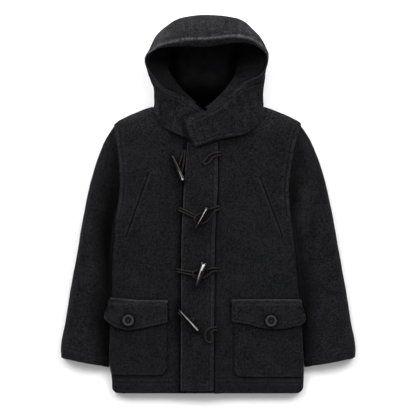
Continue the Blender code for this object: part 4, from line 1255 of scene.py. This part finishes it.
def make_hood_wall(cell):
    """The hood's three outer pieces."""
    parts = steps(HOOD_SECTION, cell * FINE_CELL)
    for node, first, last in (("hood_side_right", 0, HOOD_SEAMS[0]), ("hood_center", *HOOD_SEAMS),
                              ("hood_side_left", HOOD_SEAMS[1], len(HOOD) - 1)):
        rows = hood_rows(first, last, cell)
        grid = hood_grid(rows, parts)
        paths = hood_paths(first, last)
        lines = [on_hood(grid, rows, path) for path in paths]
        heights = unevenness(grid, "hood", 60 + first, 0.5)
        heights *= 0.25 + 0.75 * ease(0, 5, to_rim(grid))
        heights += sewn(grid, lines, 0.8, 0.25, 62 + first, plan=False)
        face = grid + normals_of(grid) * heights[..., None]
        face[..., 2] = np.maximum(face[..., 2], 0)
        _runs.setdefault("hood_stitches", []).extend(on_hood(face, rows, path) for path in paths)
        sew(node, face, hood_tone(grid, rows, lines, 63 + first), WOOL, ["wool_back"],
            lips=HOOD_LIPS, lowest=0)


def make_hood_inside(cell):
    """The facing round the hood's mouth and the lining behind it."""
    for kind, name, slot, thick, span, low, high in (
            ("facing", "wool_hood_facing", "charcoal_wool", FACING_WOOL, FACED, 0.004, FACING_PART - 0.003),
            ("lining", "woven_hood_lining", "black_lining", LINING, LINED, FACING_PART + 0.003, 0.995)):
        parts = lerp(low, high, steps(HOOD_SECTION * (high - low), cell))
        rows = hood_rows(*span, cell)
        grid = hood_grid(rows, parts)
        outer = smoothed(grid - normals_of(grid) * (WOOL + LINING_EASE), 3) + drawn_in(rows, parts)
        uneven = waves(outer, 70 + span[0], 20, 20, 90, 0.4)
        depth = thick + uneven * ease(0, 6, to_rim(outer))
        inner = outer - normals_of(smoothed(outer, 4)) * depth[..., None]
        # Painted shade and light: the lining's folds, the facing by row and the lining by height.
        tone = shade_of(inner, shades(kind)) * (1 + waves(inner, 80, 12, 20, 70, 0.08))
        tone *= through(FACING_LIGHT, rows) if kind == "facing" else straight(LINING_LIGHT, inner[..., 1])
        material = finish("wool" if kind == "facing" else "lining")
        obj = wall(name, inner[::-1], outer[::-1], tone[::-1], material)
        declare(obj, "hood_" + kind)


def make_hood(scene):
    make_hood_wall(scene.coat_wool.cell)
    make_hood_inside(scene.coat_wool.cell)


def inset_of(points, distance):
    """A closed outline drawn in by a distance."""
    points = np.array(points, dtype=float)
    ahead, behind = np.roll(points, -1, axis=0) - points, points - np.roll(points, 1, axis=0)
    ahead /= np.linalg.norm(ahead, axis=1, keepdims=True)
    behind /= np.linalg.norm(behind, axis=1, keepdims=True)
    turn = ahead + behind
    turn /= np.linalg.norm(turn, axis=1, keepdims=True)
    across = np.column_stack([-turn[:, 1], turn[:, 0]])
    x, y = points.T
    wound = np.sign((x * np.roll(y, -1) - np.roll(x, -1) * y).sum())
    cosine = np.clip((across * np.column_stack([-ahead[:, 1], ahead[:, 0]])).sum(1), 0.5, 1)
    return points + wound * across * (distance / cosine)[:, None]


def make_welts(scene):
    cell = scene.coat_wool.cell
    for side, word in SIDES:
        top_x, top, low_x, low = WELTS[word]
        across, part = cells(WELT_WIDTH, WELT_LENGTH, cell)
        up = lerp(low, top, part)
        x = lerp(low_x, top_x, part) - side * WELT_WIDTH * across
        base = on_front(side, x, up)[::-side]
        slit = np.array([(lerp(low_x, top_x, share), lerp(low, top, share)) for share in (0.02, 0.5, 0.98)])
        to_end = np.minimum(part, 1 - part)
        thin = lerp(1.0, 0.12, ease(0.15, 1, across)) * lerp(0.45, 1.0, ease(0, 0.08, to_end))
        outer = base + normals_of(base) * ((EASE_GAP + WELT_WOOL) * thin[::-side])[..., None]
        # Painted light on the welt's lip beside its slit.
        face, tone = worked(outer, "welt", 80 + side, uneven=0.1,
                            strokes=[(slit - (side * 1.6, 0), 2.6, 0.35)])
        sew("chest_welt_" + word, face, tone, WELT_WOOL, ["wool_front_" + word],
            [slit - (side * 3.4, 0)], "pocket_stitches")


def make_bags(scene):
    cell = scene.coat_wool.cell
    for side, word in SIDES:
        inner, bottom, mouth = POCKETS[word]
        inner = abs(inner)
        part, down = cells(BAG_WIDTH, mouth - bottom, cell)
        x = lerp(inner, edge(side, lerp(bottom, mouth, down)) - 3.0, part)
        from_edge = np.clip(POCKET_CORNER - (x - inner), 0, POCKET_CORNER)
        low = bottom + POCKET_CORNER - np.sqrt(POCKET_CORNER ** 2 - from_edge ** 2)
        base = on_front(side, side * x, lerp(low, mouth, down))[::side]
        start, low = inner + BAG_LINE, bottom + BAG_LINE
        lines = [[(side * x, up) for x, up in (
            (start, mouth - 4), (start, low + 12), (start + 3.5, low + 3.5), (start + 12, low),
            (170, low), (206, low))]]
        # Painted shadow of the flap on the bag.
        shadow = [(flap_outline(word, 2.0), 3.0, -0.5), (flap_outline(word, 9.0), 8.0, -0.18)]
        face, tone = worked(laid_on(base, POCKET_WOOL), "bag", 90 + side, lines, fold=0.3, uneven=0.3,
                            strokes=shadow, pale=0.6)
        sew("pocket_bag_" + word, face, tone, POCKET_WOOL, ["wool_front_" + word], lines, "pocket_stitches")


def flap_z(side, x, up):
    mouth = POCKETS["left"][2]
    inner = np.minimum(np.abs(x), edge(side, up) - ROLL)
    bag = (EASE_GAP + POCKET_WOOL) * (1 - ease(*FLAP_BEND, up - mouth))
    return front_z(side, side * inner, up) + bag


def make_flaps(scene):
    cell = scene.coat_wool.cell
    for side, word in SIDES:
        rows = FLAPS[word]
        spans = np.abs(np.array(rows, dtype=float))
        distance = lerp(spans[0, 0], spans[-1, 0], steps(spans[-1, 0] - spans[0, 0], cell))
        top, bottom = (np.interp(distance, spans[:, 0], spans[:, k])[:, None] for k in (1, 2))
        x, share = np.meshgrid(distance, steps(FLAP_LENGTH, cell), indexing="ij")
        up = lerp(bottom, top + FLAP_RISE, share)
        base = np.stack([side * x, up, flap_z(side, side * x, up)], axis=2)[::side]
        inner = inset_of([(x, low) for x, _, low in rows] + [row[:2] for row in rows[::-1]], FLAP_LINE)
        tops = [(x, up + FLAP_RISE - FLAP_GROOVE) for x, up, _ in rows[:-1]]
        lines = [[(tops[0][0] + side * FLAP_LINE, tops[0][1]), *inner[:len(rows) + 1]], tops]
        bead = np.array([(x, up + FLAP_RISE - FLAP_BEAD) for x, up, _ in rows[:-1]])
        x, up = BUTTONS[word]
        turns = np.linspace(0, math.tau, 25)
        ring = np.column_stack([x + BUTTON_SHADE * np.cos(turns), up + BUTTON_SHADE * np.sin(turns)])
        # Painted light on the bead, painted shade round and under the button, and a dark line above it.
        strokes = [(bead, 2.4, 0.8), (ring, 2.8, -0.8), (((x, up), (x, up + 0.1)), 19, -0.3),
                   (((x, up + 14), (x - 1, up + 30)), 2.0, -0.25)]
        face, tone = worked(laid_on(base, POCKET_WOOL), "flap", 100 + side, lines, uneven=0.25,
                            strokes=strokes, pale=0.3)
        ridge = near(face[..., :2], bead)[0]
        face = face + normals_of(face) * (1.2 * np.exp(-(ridge / 2.4) ** 2))[..., None]
        sew("pocket_flap_" + word, face, tone, POCKET_WOOL, ["wool_pocket_bag_" + word], lines,
            "pocket_stitches")


def lathe(profile):
    """Points and faces of a shape turned round z from (radius, height) rows that start and end at 0."""
    points, faces, rings = [], [], []
    for radius, height in profile:
        ring = len(points) + np.arange(AROUND)
        if radius < 1e-6:
            ring[:] = len(points)
            points.append((0.0, 0.0, height))
        else:
            turns = math.tau * np.arange(AROUND) / AROUND
            points += [(radius * math.cos(turn), radius * math.sin(turn), height) for turn in turns]
        rings.append(ring.tolist())
    for first, second in zip(rings, rings[1:]):
        for step in range(AROUND):
            after = (step + 1) % AROUND
            face = (first[after], second[after], second[step], first[step])
            faces.append(tuple(dict.fromkeys(face)))
    return np.array(points), faces


def drilled(obj, holes, radius):
    """Cut round holes through a piece along its z, given by their x and y in millimetres."""
    mesh = bpy.data.meshes.new("drill")
    work = bmesh.new()
    for x, y in holes:
        bmesh.ops.create_cone(work, cap_ends=True, segments=20, radius1=radius * MM, radius2=radius * MM,
                              depth=DRILL_DEPTH, matrix=Matrix.Translation((x * MM, y * MM, 0)))
    work.to_mesh(mesh)
    work.free()
    cutter = placed("drill", mesh)
    modifier = obj.modifiers.new("holes", "BOOLEAN")
    modifier.operation = "DIFFERENCE"
    modifier.solver = "EXACT"
    modifier.object = cutter
    made = applied(obj)
    bpy.data.objects.remove(cutter)
    made.shade_smooth()
    made.set_sharp_from_angle(angle=math.radians(35))


def make_buttons(scene):
    for _, word in SIDES:
        low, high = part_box("button_" + word)
        middle = (low + high) / 2
        points, faces = lathe(BUTTON_PROFILE)
        obj = piece("horn_button_" + word, (points * MM).tolist(), faces, finish("button"))
        drilled(obj, [(BUTTON_HOLE * a, BUTTON_HOLE * b) for a in (-1, 1) for b in (-1, 1)], BUTTON_DRILL)
        # Painted shade in the button's sunk middle, lighter over its rim.
        toned_points(obj, [0.08 + 0.92 * ease(*BUTTON_RIM, math.hypot(*vertex.co[:2]) / MM)
                           for vertex in obj.data.vertices])
        obj.data.transform(Matrix.Translation((middle.x, middle.y, low.z)))
        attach(obj, "root")
        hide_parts("button_" + word)
        start = np.array((middle.x / MM, middle.y / MM + LENGTH / 2, low.z / MM))
        threads = [
            [start + (reach + shift, slant * (shift * bool(reach) - reach), height)
             for reach, height in THREAD_ROUTE]
            for slant in (-1, 1) for shift in (-0.45, 0.45)
        ]
        join("thread_button_" + word, [rope(route, 0.7, 0.4, 8, 1, 0.0, 0.0) for route in threads],
             finish("thread"))


def rope(route, diameter, spacing, around, strands, twist, depth):
    """Points, faces and middle line of a tube along a smooth route; strands wind round it."""
    route = np.asarray(route, dtype=float)
    lengths = run_of(route)
    count = max(int(lengths[-1] / spacing), 8)
    places = np.linspace(0, lengths[-1], count + 1)
    middle = through(np.column_stack([lengths, route]), places)
    heading = np.gradient(middle, axis=0)
    heading /= np.linalg.norm(heading, axis=1, keepdims=True)
    side = np.cross(heading[0], (0, 0, 1))
    if np.linalg.norm(side) < 0.1:
        side = np.cross(heading[0], (1, 0, 0))
    sides = []
    for direction in heading:
        side = side - direction * (side @ direction)
        side /= np.linalg.norm(side)
        sides.append(side)
    sides = np.array(sides)
    ups = np.cross(heading, sides)
    angle = np.linspace(0, math.tau, around, endpoint=False)
    phase = strands / 2 * (angle[None, :] - places[:, None] * twist)
    radius = diameter / 2 * (1 - depth * (1 - np.abs(np.cos(phase))))
    rings = (middle[:, None] + sides[:, None] * (np.cos(angle)[None, :, None] * radius[..., None])
             + ups[:, None] * (np.sin(angle)[None, :, None] * radius[..., None]))
    index = np.arange((count + 1) * around).reshape(count + 1, around)
    after = np.roll(index, -1, axis=1)
    faces = np.stack([index[:-1], after[:-1], after[1:], index[1:]], axis=2).reshape(-1, 4).tolist()
    faces += [index[0][::-1].tolist(), index[-1].tolist()]
    flow = np.stack(np.broadcast_arrays(
        (angle[None, :] - places[:, None] * twist) * diameter / 2, places[:, None]), axis=2)
    return rings.reshape(-1, 3), faces, middle, flow.reshape(-1, 2) * MM


def join(name, parts, material):
    """Several tubes as one piece, with the fibre direction in its UV map."""
    points, faces, flows = [], [], []
    for ring_points, ring_faces, _, flow in parts:
        first = sum(len(p) for p in points)
        points.append(ring_points)
        faces += [[first + i for i in face] for face in ring_faces]
        flows.append(flow)
    obj = piece(name, metres(np.concatenate(points)).tolist(), faces, material)
    layer = obj.data.uv_layers.new(name="cord")
    corners = np.zeros(len(obj.data.loops), dtype=np.int32)
    obj.data.loops.foreach_get("vertex_index", corners)
    layer.data.foreach_set("uv", np.concatenate(flows)[corners].astype(np.float32).ravel())
    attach(obj, "root")
    return obj


def make_cords(scene):
    twist = math.tau / scene.coat_trim.twist_pitch / 1000
    for kind, routes in (("tie", TIES), ("loop", LOOPS)):
        for number, route in enumerate(routes, start=1):
            made = rope(route, CORD, 0.55, 18, 3, twist, 0.2)
            obj = join("cord_%s_%d" % (kind, number), [made], finish("cord"))
            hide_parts("%s_%d" % (kind, number))


def make_toggles(scene):
    for number, row in enumerate(TOGGLES, start=1):
        thin, thick, turn = Vector(row[:3]), Vector(row[3:6]), math.radians(row[6] + 90)
        length = (thick - thin).length
        profile = [*TOGGLE_POINT]
        profile += [(float(straight(TOGGLE_RADII, share)), share * length)
                    for share in np.linspace(0.12, 0.88, 26)]
        profile += [(7.15, 0.93 * length), (7.05, 0.965 * length), (6.6, 0.99 * length),
                    (5.9, length), (4.6, length - 0.1), (0, length - 0.5)]
        points, faces = lathe(profile)
        phase = np.random.default_rng(200 + number).random(4) * math.tau
        angle = np.arctan2(points[:, 1], points[:, 0])
        share = points[:, 2] / length
        uneven = (1 + 0.035 * np.sin(2 * angle + phase[0]) + 0.02 * np.sin(3 * angle + 5 * share + phase[1])
                  + 0.02 * np.sin(share * 9 + phase[2]))
        points[:, :2] *= uneven[:, None] * TOGGLE_SECTION
        bend = 1.3 * np.sin(math.pi * share) - 0.6
        points[:, :2] += bend[:, None] * (math.sin(turn), math.cos(turn))
        obj = piece("horn_toggle_%d" % number, (points * MM).tolist(), faces, finish("horn"))
        spin = Matrix.Rotation(math.pi / 2, 4, "Y")
        obj.data.transform(spin)
        drilled(obj, [(length * share, 0) for share in TOGGLE_HOLES], TOGGLE_DRILL)
        obj.data.transform(spin.inverted())
        toned_points(obj, np.ones(len(obj.data.vertices)))
        turned = (thick - thin).to_track_quat("Z", "Y").to_matrix().to_4x4()
        place = Matrix.Translation(Vector(metres(thin).tolist()))
        obj.data.transform(place @ turned @ Matrix.Rotation(turn, 4, "Z"))
        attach(obj, "root")
        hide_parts("toggle_%d" % number)


def make_stage(scene):
    settings = scene.coat_stage
    mesh = bpy.data.meshes.new("floor")
    corners = [(-1, -1), (1, -1), (1, 1), (-1, 1)]
    mesh.from_pydata([(x * FLOOR_HALF, y * FLOOR_HALF, 0) for x, y in corners], [], [(0, 1, 2, 3)])
    mesh.materials.append(floor_material(tuple(settings.floor)))
    placed("floor", mesh)
    for name, place, size, power, on_cloth in LAMPS:
        data = bpy.data.lights.new(name, "AREA")
        data.shape = "RECTANGLE"
        data.size, data.size_y = size
        data.energy = getattr(settings, power)
        light = placed(name, data)
        light.location = place
        light.rotation_mode = "QUATERNION"
        light.rotation_quaternion = (-Vector(place)).to_track_quat("-Z", "Y")
        light.visible_camera = False
        light.visible_diffuse = on_cloth
    world = bpy.data.worlds.new("studio")
    world.use_nodes = True
    room = world.node_tree.nodes["Background"].inputs
    room["Color"].default_value = (1, 1, 1, 1)
    room["Strength"].default_value = settings.world
    scene.world = world
    scene.view_settings.view_transform = "Standard"
    lens = bpy.data.cameras.new("camera")
    lens.sensor_width = SENSOR
    lens.lens = SENSOR * (settings.camera_height - FOCUS_Z) / PICTURE_WIDTH
    lens.clip_end = 50
    camera = placed("camera", lens)
    camera.location = (*PICTURE_MIDDLE, settings.camera_height)
    scene.camera = camera


# ---------------------------------------------------------------- the add-on


def colour_setting(name, description, default):
    return bpy.props.FloatVectorProperty(
        name=name, description=description, default=default, subtype="COLOR", min=0, max=1)


def length_setting(name, description, default):
    return bpy.props.FloatProperty(name=name, description=description, default=default, unit="LENGTH")


def power_setting(name, description, default):
    return bpy.props.FloatProperty(name=name, description=description, default=default, unit="POWER")


class CoatWool(bpy.types.PropertyGroup):
    """The wool cloth."""
    cell: bpy.props.FloatProperty(
        name="Cell", description="Size of the mesh's cells on the fronts, in millimetres",
        default=2.0, min=1.5, max=12)
    dark: colour_setting("Dark fibres", "Colour of the wool's dark fibres", (0.002, 0.002, 0.0024))
    light: colour_setting("Light fibres", "Colour of the wool's lighter fibres", (0.0119, 0.0118, 0.0132))
    fleck: colour_setting("Flecks", "Colour of the pale flecks in the wool", (0.032, 0.032, 0.032))


class CoatStitches(bpy.types.PropertyGroup):
    """The sewing thread's stitches."""
    pitch: length_setting("Pitch", "From one stitch to the next", 0.0042)
    length: length_setting("Length", "Length of a stitch", 0.0034)
    thread: length_setting("Thread", "Thickness of the thread", 0.0007)


class CoatTrim(bpy.types.PropertyGroup):
    """The toggles, buttons and cords."""
    twist_pitch: length_setting("Twist", "Length of cord in which its strands go round once", 0.014)
    cord: colour_setting("Cord", "Colour of the cords", (0.0096, 0.0064, 0.0051))
    horn: colour_setting("Horn", "Colour of the streaks in the horn", (0.003, 0.0026, 0.0026))


class CoatStage(bpy.types.PropertyGroup):
    """The floor, the lights and the camera."""
    camera_height: length_setting("Camera height", "Height of the camera over the floor", 6.0)
    side: power_setting("Side lights", "Power of each light beyond the hood", 220.0)
    shine: power_setting("Shine light", "Power of the overhead light that only horn mirrors", 640.0)
    world: bpy.props.FloatProperty(
        name="Room light", description="Strength of the white surroundings", default=0.5)
    floor: colour_setting("Floor", "Colour of the floor", (0.9, 0.9, 0.9))


def operator(word, label, doc, make):
    """An operator class that runs one making function."""
    def execute(self, context):
        make(context.scene)
        return {"FINISHED"}
    return type("COAT_OT_" + word, (bpy.types.Operator,), {
        "bl_idname": "coat." + word, "bl_label": label, "__doc__": doc, "execute": execute})


OPERATORS = tuple(operator(*row) for row in (
    ("stage", "Stage", "Make the floor, the lights and the camera", make_stage),
    ("cords", "Cords", "Make the twisted ties and loops", make_cords),
    ("body", "Body", "Make the back and the fronts", make_body),
    ("band", "Front band", "Make the front band", make_band),
    ("sleeves", "Sleeves", "Make the sleeves", make_sleeves),
    ("hood", "Hood", "Make the hood, its facing and its lining", make_hood),
    ("welts", "Chest welts", "Make the chest pockets' welts", make_welts),
    ("bags", "Patch pockets", "Make the patch pockets", make_bags),
    ("flaps", "Pocket flaps", "Make the pocket flaps", make_flaps),
    ("buttons", "Buttons", "Make the flaps' buttons", make_buttons),
    ("toggles", "Toggles", "Make the horn toggles", make_toggles),
    ("stitches", "Stitches", "Sew the stitches along their lines", make_stitches),
))


class COAT_PT_panel(bpy.types.Panel):
    """The coat's panel in the sidebar."""
    bl_idname = "COAT_PT_panel"
    bl_label = "Duffle coat"
    bl_space_type = "VIEW_3D"
    bl_region_type = "UI"
    bl_category = "Coat"

    def draw(self, context):
        for word in GROUPS:
            group, box = getattr(context.scene, word), self.layout.box()
            for name in group.__annotations__:
                box.prop(group, name)
        for made in OPERATORS:
            self.layout.operator(made.bl_idname)


GROUPS = {"coat_wool": CoatWool, "coat_stitches": CoatStitches, "coat_trim": CoatTrim,
          "coat_stage": CoatStage}


def register():
    for name, group in GROUPS.items():
        bpy.utils.register_class(group)
        setattr(bpy.types.Scene, name, bpy.props.PointerProperty(type=group))
    for made in (*OPERATORS, COAT_PT_panel):
        bpy.utils.register_class(made)


def unregister():
    for made in (COAT_PT_panel, *reversed(OPERATORS)):
        bpy.utils.unregister_class(made)
    for name, group in GROUPS.items():
        delattr(bpy.types.Scene, name)
        bpy.utils.unregister_class(group)


def main():
    register()
    for made in OPERATORS:
        getattr(bpy.ops.coat, made.bl_idname.split(".")[1])()
    bpy.context.view_layer.update()


if __name__ == "__main__":
    main()
